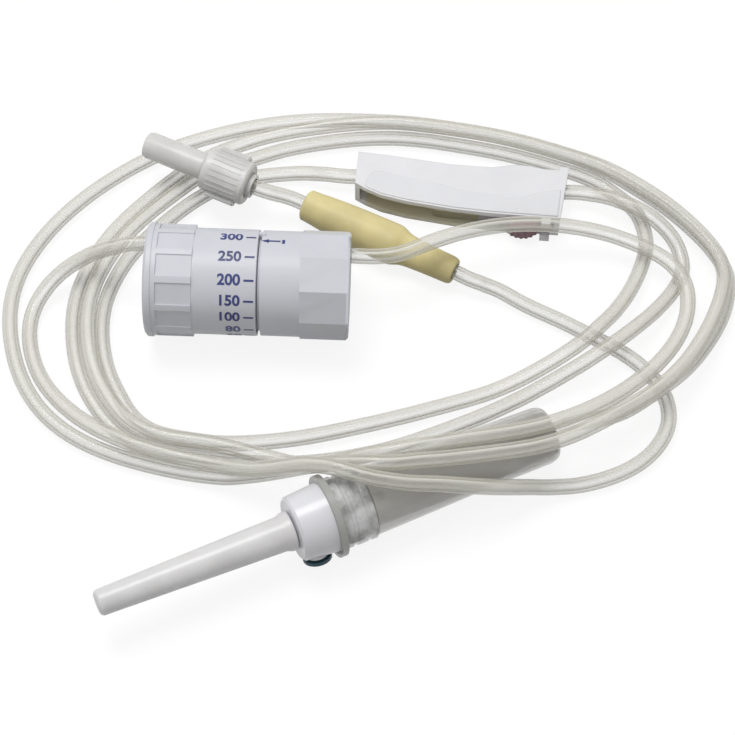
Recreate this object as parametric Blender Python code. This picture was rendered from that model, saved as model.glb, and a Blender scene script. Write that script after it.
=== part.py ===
"""Gravity infusion set lying flat: spiked drip chamber, roller clamp, dial flow regulator,
latex injection bulb and capped end connector on one line of clear tubing.

Units are metres, +Z is up, and the set lies on the plane z = 0. Each assembly is modelled along
the X axis of its own empty, and the empty lays it in its place.
"""

import math

import bmesh
import bpy
import numpy as np
from mathutils import Euler, Matrix, Vector

MM = 0.001

# Clearances and chamfers
TOUCH_GAP = 0.3 * MM
RUNNING_GAP = 0.3 * MM
EDGE_CHAMFER = 0.6 * MM

# Tubing
TUBE_DIAMETER = 3.9 * MM
TUBE_RADIUS = TUBE_DIAMETER / 2
TUBE_BORE_RADIUS = 1.5 * MM
SOCKET_RADIUS = TUBE_RADIUS + TOUCH_GAP
SOCKET_DEPTH = 5.0 * MM
FLUID_WAY_RADIUS = 1.1 * MM
CORD_STEP = 1.0 * MM
CORD_SAG = 0.2 * MM
CORD_LONGEST_CHORD = 16.0 * MM

# Drip chamber assembly, measured along its axis from the flange's back face
CHAMBER_PLACE = Vector((-3.28, -40.23, 10.31)) * MM
CHAMBER_YAW = math.radians(24.3)
CHAMBER_PITCH = math.radians(3.3)
FLANGE_RADIUS = 10.0 * MM
FLANGE_THICKNESS = 1.5 * MM
HUB_RADIUS = 8.5 * MM
HUB_NOSE_RADIUS = 7.8 * MM
HUB_LENGTH = 8.4 * MM
SPIKE_RADIUS = 2.6 * MM
SPIKE_TIP_RADIUS = 1.4 * MM
SPIKE_POINT = 5.0 * MM
SPIKE_LENGTH = 40.0 * MM
SPIGOT_RADIUS = 5.0 * MM
SPIGOT_LENGTH = 3.6 * MM
SPIKE_CAP_LENGTH = 47.5 * MM
SPIKE_CAP_TIP_RADIUS = 3.1 * MM
SPIKE_CAP_BASE_RADIUS = 4.2 * MM
SPIKE_CAP_LIP_RADIUS = 4.7 * MM
SPIKE_CAP_LIP_WIDTH = 1.3 * MM
SPIKE_CAP_END_WALL = 1.2 * MM
CAP_RING_RADIUS = 8.7 * MM
CAP_RING_WALL = 1.2 * MM
CAP_RING_LENGTH = 7.8 * MM
FORMER_PLATE = 1.2 * MM
FORMER_RADIUS = 1.5 * MM
FORMER_BORE = 0.7 * MM
FORMER_REACH = 8.0 * MM
CHAMBER_TOP_RADIUS = 8.2 * MM
CHAMBER_WAIST_RADIUS = 7.3 * MM
CHAMBER_END_RADIUS = 6.5 * MM
CHAMBER_WALL = 0.9 * MM
CHAMBER_END = 56.5 * MM
CHAMBER_WAIST = 36.5 * MM
CHAMBER_SEAT_LENGTH = 2.7 * MM
OUTLET_LENGTH = 7.0 * MM
FILTER_THICKNESS = 0.8 * MM

# Air vent on the hub's side
VENT_ANGLE = math.radians(150.0)
VENT_ALONG = 4.0 * MM
VENT_BOSS_RADIUS = 2.8 * MM
VENT_BOSS_HEIGHT = 0.3 * MM
VENT_BOSS_ROOT = 4.7 * MM
VENT_BORE_RADIUS = 2.0 * MM
VENT_BORE_DEPTH = 1.6 * MM
VENT_FILTER_THICKNESS = 0.5 * MM
VENT_CAP_RADIUS = 3.5 * MM
VENT_CAP_THICKNESS = 0.9 * MM
VENT_PLUG_RADIUS = 1.6 * MM
VENT_PLUG_HEIGHT = 0.5 * MM

# Flow regulator, measured along its axis from the dial's rim
REGULATOR_PLACE = Vector((-48.75, 22.0, 14.1)) * MM
REGULATOR_YAW = math.radians(-1.93)
REGULATOR_PITCH = math.radians(0.65)
DIAL_RIM_RADIUS = 14.0 * MM
DIAL_RIM_WIDTH = 1.8 * MM
DIAL_GRIP_RADIUS = 13.7 * MM
DIAL_GRIP_LENGTH = 9.8 * MM
DIAL_BODY_RADIUS = 13.0 * MM
DIAL_LENGTH = 27.1 * MM
DIAL_WALL = 1.0 * MM
GRIP_COUNT = 12
GRIP_TURN = math.radians(17.0)
GRIP_RING_WIDTH = 1.2 * MM
GRIP_POCKET_FLOOR = 13.15 * MM
GRIP_POCKET_WIDTH = 5.4 * MM
CORE_RECESS = 1.4 * MM
CORE_STEM_RADIUS = 9.0 * MM
CORE_STEM_LENGTH = 13.0 * MM
SEAL_SECTION = 0.9 * MM
SEAL_GROOVE_PLACE = 20.0 * MM
GASKET_THICKNESS = 1.6 * MM
BASE_RADIUS = 12.9 * MM
BASE_COLLAR_LENGTH = 10.5 * MM
BASE_GROOVE = 1.2 * MM
BASE_LENGTH = 22.0 * MM
GRIP_END_HALF_WIDTH = 12.85 * MM
GRIP_END_SIDES = 10
GRIP_END_TURN = math.radians(4.0)
GRIP_END_ROOT = 9.8 * MM
GRIP_END_LIP = 0.3 * MM
PORT_ANGLE = math.radians(-20.0)
INLET_OFFSET = 8.8 * MM
OUTLET_OFFSET = 7.6 * MM

# Roller clamp lying on one side wall, measured from the tube's axis at its middle
CLAMP_THICKNESS = 7.7 * MM
CLAMP_WALL = 1.4 * MM
CLAMP_BACK_WALL = 1.1 * MM
CLAMP_LENGTH = 54.4 * MM
CLAMP_END_WALL = 1.3 * MM
CLAMP_PLACE = Vector((29.25, 57.4, CLAMP_THICKNESS / MM / 2)) * MM
CLAMP_DEPTH = 10.9 * MM
CLAMP_HUMP = 1.4 * MM
CLAMP_LUG_MARGIN = 5.1 * MM
CLAMP_LUG_REACH = 2.0 * MM
CLAMP_LUG_WIDTH = 2.4 * MM
CLAMP_YAW = math.radians(-5.25)
CLAMP_END_SLANT = 1.6 * MM
CLAMP_FLANGE_REACH = 1.8 * MM
WHEEL_RADIUS = 5.4 * MM
WHEEL_RIB_DEPTH = 0.35 * MM
WHEEL_RIBS = 24
WHEEL_SIDE_GAP = 0.3 * MM
WHEEL_PIN_RADIUS = 0.9 * MM
WHEEL_PIN_LENGTH = 0.8 * MM
WHEEL_MARGIN = 11.0 * MM
WHEEL_PLACE = CLAMP_LENGTH / 2 - WHEEL_MARGIN
WHEEL_TRAVEL = 22.0 * MM
WHEEL_OPEN_GAP = 1.3 * MM
WHEEL_CLOSED_GAP = 0.3 * MM
GROOVE_GAP = 0.3 * MM
GROOVE_DEPTH = 0.9 * MM

# Clamp outline from left to right, as shares of its half length, its depth and its hump
CLAMP_FRONT_SHARES = ((-1.0, 0.42), (-0.90, 0.56), (-0.74, 0.72), (-0.50, 0.84), (-0.06, 0.96), (0.30, 1.0))
CLAMP_BACK_SHARES = ((-1.0, 1.3), (-0.70, 1.0), (-0.41, 0.5), (-0.11, 0.0), (0.27, 0.0), (0.38, 0.5),
                     (0.49, 1.0), (0.62, 0.9), (0.77, 0.5))

# Latex bulb
BULB_START = Vector((-10.85, 49.2, 6.7)) * MM
BULB_END = Vector((26.85, 30.1, 4.7)) * MM
BULB_RADIUS = 5.4 * MM
BULB_END_RADIUS = 3.7 * MM
BULB_NECK_RADIUS = 3.9 * MM
BULB_TIP_RADIUS = 3.4 * MM
BULB_WALL = 1.2 * MM
BULB_BARREL = 25.5 * MM
BULB_SHOULDER = 4.0 * MM
BULB_SOCKET = 8.0 * MM
BULB_SWELL_PLACE = 12.75 * MM
BULB_SHOULDER_PLACE = 27.7 * MM
BULB_SHOULDER_RADIUS = 4.3 * MM
SLEEVE_WALL = 0.6 * MM
SLEEVE_LENGTH = 7.0 * MM
OUTLET_SLEEVE_LENGTH = 3.0 * MM

# End connector
CONNECTOR_START = Vector((-25.05, 52.5, 10.6)) * MM
CONNECTOR_END = Vector((-51.55, 63.8, 12.8)) * MM
CONNECTOR_SOCKET_RADIUS = 3.1 * MM
CONNECTOR_SOCKET_LENGTH = 8.0 * MM
CONNECTOR_TAIL = 1.2 * MM
CONNECTOR_FLANGE_RADIUS = 3.9 * MM
CONNECTOR_FLANGE_WIDTH = 1.6 * MM
CONNECTOR_TAPER_BASE = 2.15 * MM
CONNECTOR_TAPER_TIP = 1.95 * MM
CONNECTOR_LENGTH = 22.0 * MM
COLLAR_RADIUS = 5.6 * MM
COLLAR_LENGTH = 12.0 * MM
COLLAR_WING_REACH = 6.7 * MM
COLLAR_WING_WIDTH = 3.0 * MM
COLLAR_WING_LENGTH = 8.0 * MM
COLLAR_WING_ROOT = 5.0 * MM
COLLAR_WING_TURN = math.radians(60.0)
CONNECTOR_CAP_RADIUS = 3.5 * MM
CONNECTOR_CAP_TIP_RADIUS = 3.0 * MM
CONNECTOR_CAP_END_WALL = 1.2 * MM

# Route points of each free tube, in millimetres from the origin, in the order of the flow
CHAMBER_TO_CLAMP_ROUTE = (
    (43.9, -18.9, 7.3), (48.1, -17, 7.05), (54, -14.4, 6.7), (64.4, -11.8, 6.4), (73.1, -6.5, 6.4),
    (81, 0, 5.6), (88.6, 9.8, 3.5), (93.3, 18.5, 2.4), (95.4, 25.8, 2.1), (95.6, 30.5, 2.1),
    (94.1, 35.3, 2.1), (90.9, 40.8, 2.1), (86.5, 46.3, 2.1), (80.8, 52.2, 2.1), (74.7, 57.2, 2.1),
    (66.2, 63.5, 2.1), (55.3, 68.8, 2.1), (42.4, 73.2, 2.1), (28, 76.4, 2.1), (14.8, 78.4, 2.1),
    (1.6, 79.2, 2.1), (-12.9, 78.9, 2.1), (-26, 76.8, 2.1), (-39, 72.9, 2.1), (-48, 69, 2.1),
    (-57.4, 63.2, 2.1), (-66.2, 56, 2.1), (-73.9, 47.6, 2.1), (-79.6, 38.7, 2.1), (-83.3, 29, 2.1),
    (-84.2, 19, 2.1), (-82.5, 8.3, 2.1), (-78.7, -1.6, 2.1), (-72.4, -10.2, 2.1), (-63, -17.1, 2.1),
    (-51.9, -21.7, 2.1), (-41, -24.6, 2.1), (-30.1, -26.6, 2.8), (-22.8, -27.5, 5.4),
    (-15.6, -28.5, 9.6), (-8.4, -29.6, 14.5), (-0.2, -30.6, 18), (7.8, -31.8, 20.2), (15.9, -31.2, 20),
    (23.9, -29.9, 19), (35.6, -27.6, 17.6), (46.2, -25.1, 16.8), (54.7, -20.9, 14.8),
    (62.8, -15.4, 12.6), (71.2, -9.4, 11), (79, -2.5, 10.1), (85.4, 6.1, 8.7), (90.1, 15.1, 7),
    (93, 22.5, 6.3), (94.1, 29.1, 6.2), (92.8, 34.5, 6.2), (89.7, 39.9, 6.2), (85.4, 45.4, 6.2),
    (79.7, 51.2, 6.2), (73.9, 55.9, 6.2), (65.7, 61.3, 6.1), (53.6, 66.4, 5.9), (40.8, 70.7, 5.9),
    (26.5, 73.8, 5.9), (13.5, 75.7, 5.8), (0.4, 75.9, 5), (-11.4, 74.9, 4), (-21.7, 73.3, 2.8),
    (-30.5, 70.3, 2.1), (-38.2, 66.1, 2.1), (-45.8, 59.7, 2.1), (-53.1, 52.2, 2.1), (-59.8, 43.9, 2.1),
    (-64.8, 34.7, 2.1), (-67.9, 24.3, 2.1), (-68.2, 14.6, 2.1), (-66.8, 6, 2.1), (-64.3, -1.3, 2.1),
    (-60.7, -7.7, 2.1), (-56, -13.5, 2.1), (-48.7, -18.2, 2.1), (-40, -20.3, 2.1), (-31.6, -21.7, 2.1),
    (-20.8, -22.6, 2.1), (-10, -22.5, 2.1), (0.8, -21, 2.1), (12.8, -17.9, 2.1), (22.4, -14.2, 2.1),
    (32.2, -10, 2.1), (42.1, -5.1, 2.4), (48.9, -1.6, 3.6), (56.3, 2.3, 5.4), (63.2, 6.6, 6.7),
    (70.1, 12.5, 5.6), (76.5, 19.3, 3.5), (81.6, 25.9, 2.3), (84.3, 31.4, 2.1), (84.4, 36.1, 2.3),
    (83, 40.3, 3.1), (80.1, 43.8, 4.5), (76.3, 46.5, 6.1), (72.6, 48.7, 6.5), (68.7, 51.1, 5.9),
    (65.4, 53.1, 4.8), (62, 54.4, 3.9), (55.3, 55, 3.85),
)
CLAMP_TO_REGULATOR_ROUTE = (
    (3.2, 59.8, 3.85), (-3.6, 60.4, 3.75), (-9.5, 61.7, 2.7), (-17.8, 61.8, 2.1), (-26.1, 60.4, 2.1),
    (-34.6, 56.9, 2.1), (-41.1, 52.2, 2.1), (-48, 45.4, 2.1), (-54.1, 38.1, 2.1), (-58.2, 30.4, 2.1),
    (-60.7, 21.9, 2.1), (-61, 14.3, 2.1), (-60, 7.4, 2.1), (-58.2, 1.5, 2.1), (-55.6, -3.9, 2.1),
    (-52.7, -8.9, 2.1), (-47.6, -13.5, 2.1), (-39.5, -15.9, 2.1), (-31.5, -17.1, 2.1),
    (-20.9, -16.9, 2.1), (-11.3, -15.7, 2.1), (0.7, -13.1, 2.1), (12.8, -10, 2.1), (25, -6.4, 2.1),
    (33.6, -3.7, 2.3), (40.9, -0.8, 3.2), (48.3, 2.8, 4.8), (55, 6.7, 6.3), (60.9, 11.9, 6.45),
    (66.4, 18.5, 4.8), (71, 26, 3.2), (74.1, 33.1, 2.3), (75.8, 39.6, 2.1), (75.4, 45.4, 2.1),
    (73.5, 50.5, 2.1), (69.6, 54.7, 2.1), (65.2, 58.6, 2.1), (55.1, 63.5, 2.1), (42.2, 67.9, 2.1),
    (27.9, 71.2, 2.1), (14.8, 73.2, 2.1), (1.7, 73, 2.1), (-10.1, 71.2, 2.1), (-19.2, 68.8, 2.1),
    (-27.7, 65.3, 2.5), (-36.4, 61.5, 3.5), (-43.3, 55.8, 3.8), (-50.4, 48.7, 4.1), (-56.7, 40.8, 4.4),
    (-61.2, 32.4, 4.5), (-64, 23, 4.6), (-64.3, 14.4, 4.6), (-63.1, 6.7, 4.7), (-60.9, -0, 4.7),
    (-57.8, -5.9, 5.1), (-54, -11.2, 5.6), (-47.8, -15.8, 5.9), (-39.4, -18.1, 6.1), (-31.4, -19.5, 6.2),
    (-23.7, -21.8, 6.5), (-15.8, -24.4, 7), (-8.6, -26.6, 8.8), (-0.3, -27.4, 13.4), (7.4, -27.7, 17.4),
    (15.2, -26.9, 18.7), (24.1, -25.2, 18.5), (35.8, -22.7, 17.5), (47.6, -19.4, 16.4),
    (57.5, -14.1, 13.8), (65.7, -8.2, 11.5), (73.1, -1.3, 9.4), (78.6, 5.5, 7.9), (82.5, 12.6, 6.9),
    (84.3, 19.3, 6.4), (84.2, 24.8, 6.4), (82.1, 29.9, 6.4), (78.4, 33.7, 6.5), (73, 36.8, 6.8),
    (66.1, 39.3, 7.6), (58.4, 40.5, 8.9), (50.3, 40.6, 10.4), (41.1, 39.5, 12), (33, 37.4, 13.3),
    (25.4, 34.3, 14.7), (19.3, 31.3, 15.51), (13.7, 28.5, 15.93), (7.5, 27.3, 16.08), (0.8, 27.5, 16.14),
    (-5.5, 27.7, 16.22),
)
REGULATOR_TO_BULB_ROUTE = (
    (-42.3, 30, 17.05), (-48.5, 30.3, 17.11), (-53, 30.4, 17), (-57.5, 30.3, 15.7), (-62.3, 30.5, 13),
    (-66.6, 30.2, 10), (-70.6, 29.1, 7.2), (-74, 27, 4.9), (-76.7, 23.9, 3.2), (-78.5, 19.5, 2.3),
    (-78.9, 13.8, 2.1), (-77.8, 7.7, 2.1), (-75, 0.8, 2.3), (-70.3, -5.7, 2.9), (-63.8, -11.9, 4.1),
    (-56.1, -17, 5.6), (-48, -20.6, 6.3), (-39.5, -23.2, 6.5), (-30.4, -25.8, 7.4), (-23.1, -28.2, 10),
    (-15.8, -29.8, 14.2), (-8.3, -31.3, 18.6), (-0.2, -34.2, 21.2), (7.8, -36.3, 20.8),
    (15.1, -36.4, 19.1), (22, -35.8, 17.4), (29.1, -34.9, 14.6), (35.8, -33.3, 10.8), (42.7, -31.1, 6.4),
    (48.9, -29.5, 3.2), (55.5, -28.4, 2.1), (63.2, -26.2, 2.1), (70.1, -22.5, 2.1), (75.3, -17.1, 2.1),
    (77.9, -10.8, 2.1), (77.4, -4.4, 2.1), (74.2, 1.8, 2.1), (68.9, 7.2, 2.1), (61.3, 12.3, 2.1),
    (51.7, 18, 2.1), (43.1, 22.6, 2.4), (35.7, 26.6, 3.2), (32.2, 27.4, 4.4), (26.9, 30.1, 4.7),
    (20, 33.6, 5.06),
)
BULB_TO_CONNECTOR_ROUTE = (
    (-6, 46.7, 6.44), (-10.8, 49.2, 6.7), (-13.6, 50.4, 7.2), (-18, 50.9, 8.75), (-22.5, 51.5, 10.25),
    (-25.1, 52.5, 10.6), (-29.4, 54.3, 10.96),
)

# Facets of the turned pieces
WIDE_STEPS = 48
ROUND_STEPS = 32
NARROW_STEPS = 24
SMALL_STEPS = 20

MILK_WHITE = (0.78, 0.79, 0.83)
COOL_WHITE = (0.72, 0.74, 0.80)
CLEAR_PLASTIC = (0.72, 0.71, 0.67)
FROSTED = (0.62, 0.61, 0.61)
TUBING_CREAM = (0.80, 0.79, 0.73)
OCHRE = (0.70, 0.58, 0.26)
TEAL = (0.03, 0.10, 0.13)
MAROON = (0.24, 0.08, 0.10)
FILTER_WHITE = (0.85, 0.85, 0.82)
SEAL_GREY = (0.25, 0.26, 0.28)


def clear_scene():
    for item in list(bpy.data.objects):
        bpy.data.objects.remove(item)


def plastic(name, colour, roughness, alpha=1.0):
    material = bpy.data.materials.new(name)
    material.use_nodes = True
    shader = material.node_tree.nodes["Principled BSDF"]
    shader.inputs["Base Color"].default_value = (*colour, 1.0)
    shader.inputs["Roughness"].default_value = roughness
    shader.inputs["Metallic"].default_value = 0.0
    shader.inputs["Alpha"].default_value = alpha
    return material


def empty(name, location, rotation=None, parent=None):
    holder = bpy.data.objects.new(name, None)
    holder.empty_display_size = 0.01
    holder.location = location
    if rotation is not None:
        holder.rotation_euler = rotation
    holder.parent = parent
    bpy.context.collection.objects.link(holder)
    return holder


def axis_rotation(start, end):
    """Rotation that turns local +X from start towards end, with local Z kept upward."""
    run = end - start
    yaw = math.atan2(run.y, run.x)
    pitch = -math.atan2(run.z, math.hypot(run.x, run.y))
    return Euler((0.0, pitch, yaw))


def add_object(mesh, name, parent, material):
    piece = bpy.data.objects.new(name, mesh)
    piece.parent = parent
    if material is not None:
        mesh.materials.append(material)
    bpy.context.collection.objects.link(piece)
    return piece


def mesh_object(bm, name, parent, material):
    bmesh.ops.recalc_face_normals(bm, faces=bm.faces)
    mesh = bpy.data.meshes.new(name)
    bm.to_mesh(mesh)
    bm.free()
    mesh.shade_smooth()
    mesh.set_sharp_from_angle(angle=math.radians(35.0))
    return add_object(mesh, name, parent, material)


def turned(name, profile, parent, material, steps=ROUND_STEPS, axis="X"):
    """Solid of revolution about the local X or Z axis; profile points are (along, radius)."""
    bm = bmesh.new()
    if axis == "X":
        points = [bm.verts.new((along, 0.0, radius)) for along, radius in profile]
        spin_axis = (1.0, 0.0, 0.0)
    else:
        points = [bm.verts.new((radius, 0.0, along)) for along, radius in profile]
        spin_axis = (0.0, 0.0, 1.0)
    edges = [bm.edges.new(pair) for pair in zip(points, points[1:])]
    if profile[0][1] > 0.0:
        edges.append(bm.edges.new((points[-1], points[0])))
    bmesh.ops.spin(bm, geom=points + edges, cent=(0.0, 0.0, 0.0), axis=spin_axis,
                   angle=2.0 * math.pi, steps=steps, use_merge=True)
    bmesh.ops.remove_doubles(bm, verts=bm.verts, dist=1e-7)
    return mesh_object(bm, name, parent, material)


def prism(name, outline, bottom, top, parent, material):
    """Straight prism of an outline in the local XY plane."""
    bm = bmesh.new()
    face = bm.faces.new([bm.verts.new((x, y, bottom)) for x, y in outline])
    grown = bmesh.ops.extrude_face_region(bm, geom=[face])
    moved = [item for item in grown["geom"] if isinstance(item, bmesh.types.BMVert)]
    bmesh.ops.translate(bm, verts=moved, vec=(0.0, 0.0, top - bottom))
    return mesh_object(bm, name, parent, material)


def block(name, low, high, parent, material=None):
    outline = ((low[0], low[1]), (high[0], low[1]), (high[0], high[1]), (low[0], high[1]))
    return prism(name, outline, low[2], high[2], parent, material)


def stadium(start, end, radius, arc_steps=8):
    """Outline of a slot with round ends between two points of the XY plane."""
    direction = math.atan2(end[1] - start[1], end[0] - start[0])
    points = []
    for centre, first in ((end, direction - math.pi / 2), (start, direction + math.pi / 2)):
        for step in range(arc_steps + 1):
            angle = first + math.pi * step / arc_steps
            points.append((centre[0] + radius * math.cos(angle), centre[1] + radius * math.sin(angle)))
    return points


def make_cutter(piece):
    piece.hide_render = True
    piece.display_type = "WIRE"
    return piece


def combine(target, tool, operation):
    modifier = target.modifiers.new(tool.name, "BOOLEAN")
    modifier.operation = operation
    modifier.solver = "EXACT"
    modifier.object = make_cutter(tool)


def radial_copies(name, low, high, count, parent):
    """Boxes spread evenly round the local X axis, as one mesh."""
    bm = bmesh.new()
    for index in range(count):
        made = bmesh.ops.create_cube(bm, size=1.0)
        size = Vector(high) - Vector(low)
        centre = (Vector(high) + Vector(low)) / 2
        turn = Matrix.Rotation(2.0 * math.pi * index / count, 4, "X")
        place = turn @ Matrix.Translation(centre) @ Matrix.Diagonal((*size, 1.0))
        bmesh.ops.transform(bm, matrix=place, verts=made["verts"])
    return mesh_object(bm, name, parent, None)


def chamber_frame():
    return empty("chamber_axis", CHAMBER_PLACE, Euler((0.0, CHAMBER_PITCH, CHAMBER_YAW)))


def build_spike_hub(frame):
    hub_front = -FLANGE_THICKNESS - HUB_LENGTH
    spike_base = hub_front
    spike_tip = spike_base - SPIKE_LENGTH
    profile = (
        (spike_tip, FLUID_WAY_RADIUS),
        (spike_tip, SPIKE_TIP_RADIUS),
        (spike_tip + SPIKE_POINT, SPIKE_RADIUS - TOUCH_GAP),
        (spike_base, SPIKE_RADIUS),
        (hub_front, HUB_NOSE_RADIUS - EDGE_CHAMFER),
        (hub_front + EDGE_CHAMFER, HUB_NOSE_RADIUS),
        (-FLANGE_THICKNESS, HUB_RADIUS),
        (-FLANGE_THICKNESS, FLANGE_RADIUS),
        (0.0, FLANGE_RADIUS),
        (0.0, SPIGOT_RADIUS),
        (SPIGOT_LENGTH, SPIGOT_RADIUS),
        (SPIGOT_LENGTH, FLUID_WAY_RADIUS),
    )
    hub = turned("spike_hub", profile, frame, plastic("hub_white", COOL_WHITE, 0.35))
    boss = turned("vent_boss_form", (
        (VENT_BOSS_ROOT, 0.0),
        (VENT_BOSS_ROOT, VENT_BOSS_RADIUS),
        (HUB_RADIUS + VENT_BOSS_HEIGHT, VENT_BOSS_RADIUS),
        (HUB_RADIUS + VENT_BOSS_HEIGHT, 0.0),
    ), vent_frame(frame), None, SMALL_STEPS, "Z")
    bore = turned("vent_bore_form", (
        (HUB_RADIUS + VENT_BOSS_HEIGHT - VENT_BORE_DEPTH, 0.0),
        (HUB_RADIUS + VENT_BOSS_HEIGHT - VENT_BORE_DEPTH, VENT_BORE_RADIUS),
        (HUB_RADIUS + 2 * VENT_BOSS_HEIGHT, VENT_BORE_RADIUS),
        (HUB_RADIUS + 2 * VENT_BOSS_HEIGHT, 0.0),
    ), vent_frame(frame), None, SMALL_STEPS, "Z")
    combine(hub, boss, "UNION")
    combine(hub, bore, "DIFFERENCE")
    return hub


def vent_frame(frame):
    """Empty at the chamber's axis whose local Z points out through the air vent."""
    along = -FLANGE_THICKNESS - VENT_ALONG
    return empty("vent_axis", (along, 0.0, 0.0), Euler((VENT_ANGLE, 0.0, 0.0)), frame)


def build_vent(frame):
    axis = vent_frame(frame)
    seat = HUB_RADIUS + VENT_BOSS_HEIGHT
    filter_low = seat - VENT_BORE_DEPTH + TOUCH_GAP
    turned("vent_filter", (
        (filter_low, 0.0),
        (filter_low, VENT_BORE_RADIUS - TOUCH_GAP),
        (filter_low + VENT_FILTER_THICKNESS, VENT_BORE_RADIUS - TOUCH_GAP),
        (filter_low + VENT_FILTER_THICKNESS, 0.0),
    ), axis, plastic("filter_white", FILTER_WHITE, 0.9), SMALL_STEPS, "Z")
    hinge = empty("vent_hinge", (0.0, VENT_CAP_RADIUS, seat + TOUCH_GAP), None, axis)
    cap = turned("vent_cap", (
        (-VENT_PLUG_HEIGHT, 0.0),
        (-VENT_PLUG_HEIGHT, VENT_PLUG_RADIUS),
        (0.0, VENT_PLUG_RADIUS),
        (0.0, VENT_CAP_RADIUS),
        (VENT_CAP_THICKNESS, VENT_CAP_RADIUS),
        (VENT_CAP_THICKNESS, 0.0),
    ), hinge, plastic("vent_teal", TEAL, 0.4), SMALL_STEPS, "Z")
    cap.data.transform(Matrix.Translation((0.0, -VENT_CAP_RADIUS, 0.0)))
    return cap


def build_spike_cap(frame):
    base = -FLANGE_THICKNESS - HUB_LENGTH - TOUCH_GAP
    tip = base - SPIKE_CAP_LENGTH
    bore = SPIKE_RADIUS + RUNNING_GAP
    profile = (
        (tip, 0.0),
        (tip, SPIKE_CAP_TIP_RADIUS - EDGE_CHAMFER),
        (tip + EDGE_CHAMFER, SPIKE_CAP_TIP_RADIUS),
        (base - 2 * SPIKE_CAP_LIP_WIDTH, SPIKE_CAP_BASE_RADIUS),
        (base - SPIKE_CAP_LIP_WIDTH, SPIKE_CAP_LIP_RADIUS),
        (base, SPIKE_CAP_LIP_RADIUS),
        (base, bore),
        (tip + SPIKE_CAP_END_WALL, SPIKE_CAP_TIP_RADIUS - EDGE_CHAMFER),
        (tip + SPIKE_CAP_END_WALL, 0.0),
    )
    return turned("spike_cap", profile, frame, plastic("frosted_cap", FROSTED, 0.45))


def build_chamber_cap(frame):
    front = TOUCH_GAP
    plate = front + FORMER_PLATE
    profile = (
        (front, SPIGOT_RADIUS + TOUCH_GAP),
        (front, CAP_RING_RADIUS),
        (front + CAP_RING_LENGTH, CAP_RING_RADIUS),
        (front + CAP_RING_LENGTH, CAP_RING_RADIUS - CAP_RING_WALL),
        (plate, CAP_RING_RADIUS - CAP_RING_WALL),
        (plate, SPIGOT_RADIUS + TOUCH_GAP),
    )
    return turned("chamber_cap", profile, frame, plastic("clear_cap", CLEAR_PLASTIC, 0.15, 0.5))


def build_drop_former(frame):
    plate_front = SPIGOT_LENGTH + TOUCH_GAP
    plate_back = plate_front + FORMER_PLATE
    rim = CAP_RING_RADIUS - CAP_RING_WALL - TOUCH_GAP
    profile = (
        (plate_front, FORMER_BORE),
        (plate_front, rim),
        (plate_back, rim),
        (plate_back, FORMER_RADIUS),
        (plate_back + FORMER_REACH, FORMER_RADIUS - TOUCH_GAP),
        (plate_back + FORMER_REACH, FORMER_BORE),
    )
    return turned("drop_former", profile, frame, plastic("former_clear", CLEAR_PLASTIC, 0.2), SMALL_STEPS)


def build_drip_chamber(frame):
    ring_end = TOUCH_GAP + CAP_RING_LENGTH
    seat_radius = CAP_RING_RADIUS - CAP_RING_WALL - TOUCH_GAP
    seat_start = ring_end - CHAMBER_SEAT_LENGTH
    shoulder = ring_end + TOUCH_GAP
    outlet_bore = CHAMBER_END_RADIUS - CHAMBER_WALL
    profile = (
        (seat_start, seat_radius - CHAMBER_WALL),
        (seat_start, seat_radius),
        (shoulder, seat_radius),
        (shoulder, CHAMBER_TOP_RADIUS),
        (CHAMBER_WAIST, CHAMBER_WAIST_RADIUS),
        (CHAMBER_END - 2 * CHAMBER_WALL, CHAMBER_WAIST_RADIUS - CHAMBER_WALL / 3),
        (CHAMBER_END, CHAMBER_END_RADIUS),
        (CHAMBER_END, outlet_bore),
        (CHAMBER_END - OUTLET_LENGTH - FILTER_THICKNESS - 2 * TOUCH_GAP, outlet_bore),
        (CHAMBER_WAIST, CHAMBER_WAIST_RADIUS - CHAMBER_WALL),
        (shoulder + CHAMBER_WALL, seat_radius - CHAMBER_WALL),
    )
    return turned("drip_chamber", profile, frame, plastic("clear_chamber", CLEAR_PLASTIC, 0.12, 0.4))


def build_chamber_outlet(frame):
    plug_radius = CHAMBER_END_RADIUS - CHAMBER_WALL - TOUCH_GAP
    start = CHAMBER_END - OUTLET_LENGTH
    profile = (
        (start, FLUID_WAY_RADIUS),
        (start, plug_radius),
        (CHAMBER_END, plug_radius),
        (CHAMBER_END, SOCKET_RADIUS),
        (CHAMBER_END - SOCKET_DEPTH, SOCKET_RADIUS),
        (CHAMBER_END - SOCKET_DEPTH, FLUID_WAY_RADIUS),
    )
    turned("chamber_outlet", profile, frame, plastic("outlet_clear", CLEAR_PLASTIC, 0.2))
    mesh_back = start - TOUCH_GAP
    turned("fluid_filter", (
        (mesh_back - FILTER_THICKNESS, 0.0),
        (mesh_back - FILTER_THICKNESS, plug_radius),
        (mesh_back, plug_radius),
        (mesh_back, 0.0),
    ), frame, plastic("mesh_white", FILTER_WHITE, 0.8))


def regulator_frame():
    return empty("regulator_axis", REGULATOR_PLACE, Euler((0.0, REGULATOR_PITCH, REGULATOR_YAW)))


def port_place(offset):
    """Place of an off-axis tube port in the regulator's cross-section, as (y, z)."""
    return (offset * math.cos(-PORT_ANGLE), offset * math.sin(-PORT_ANGLE))


def core_radius():
    return DIAL_BODY_RADIUS - DIAL_WALL - RUNNING_GAP


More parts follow.
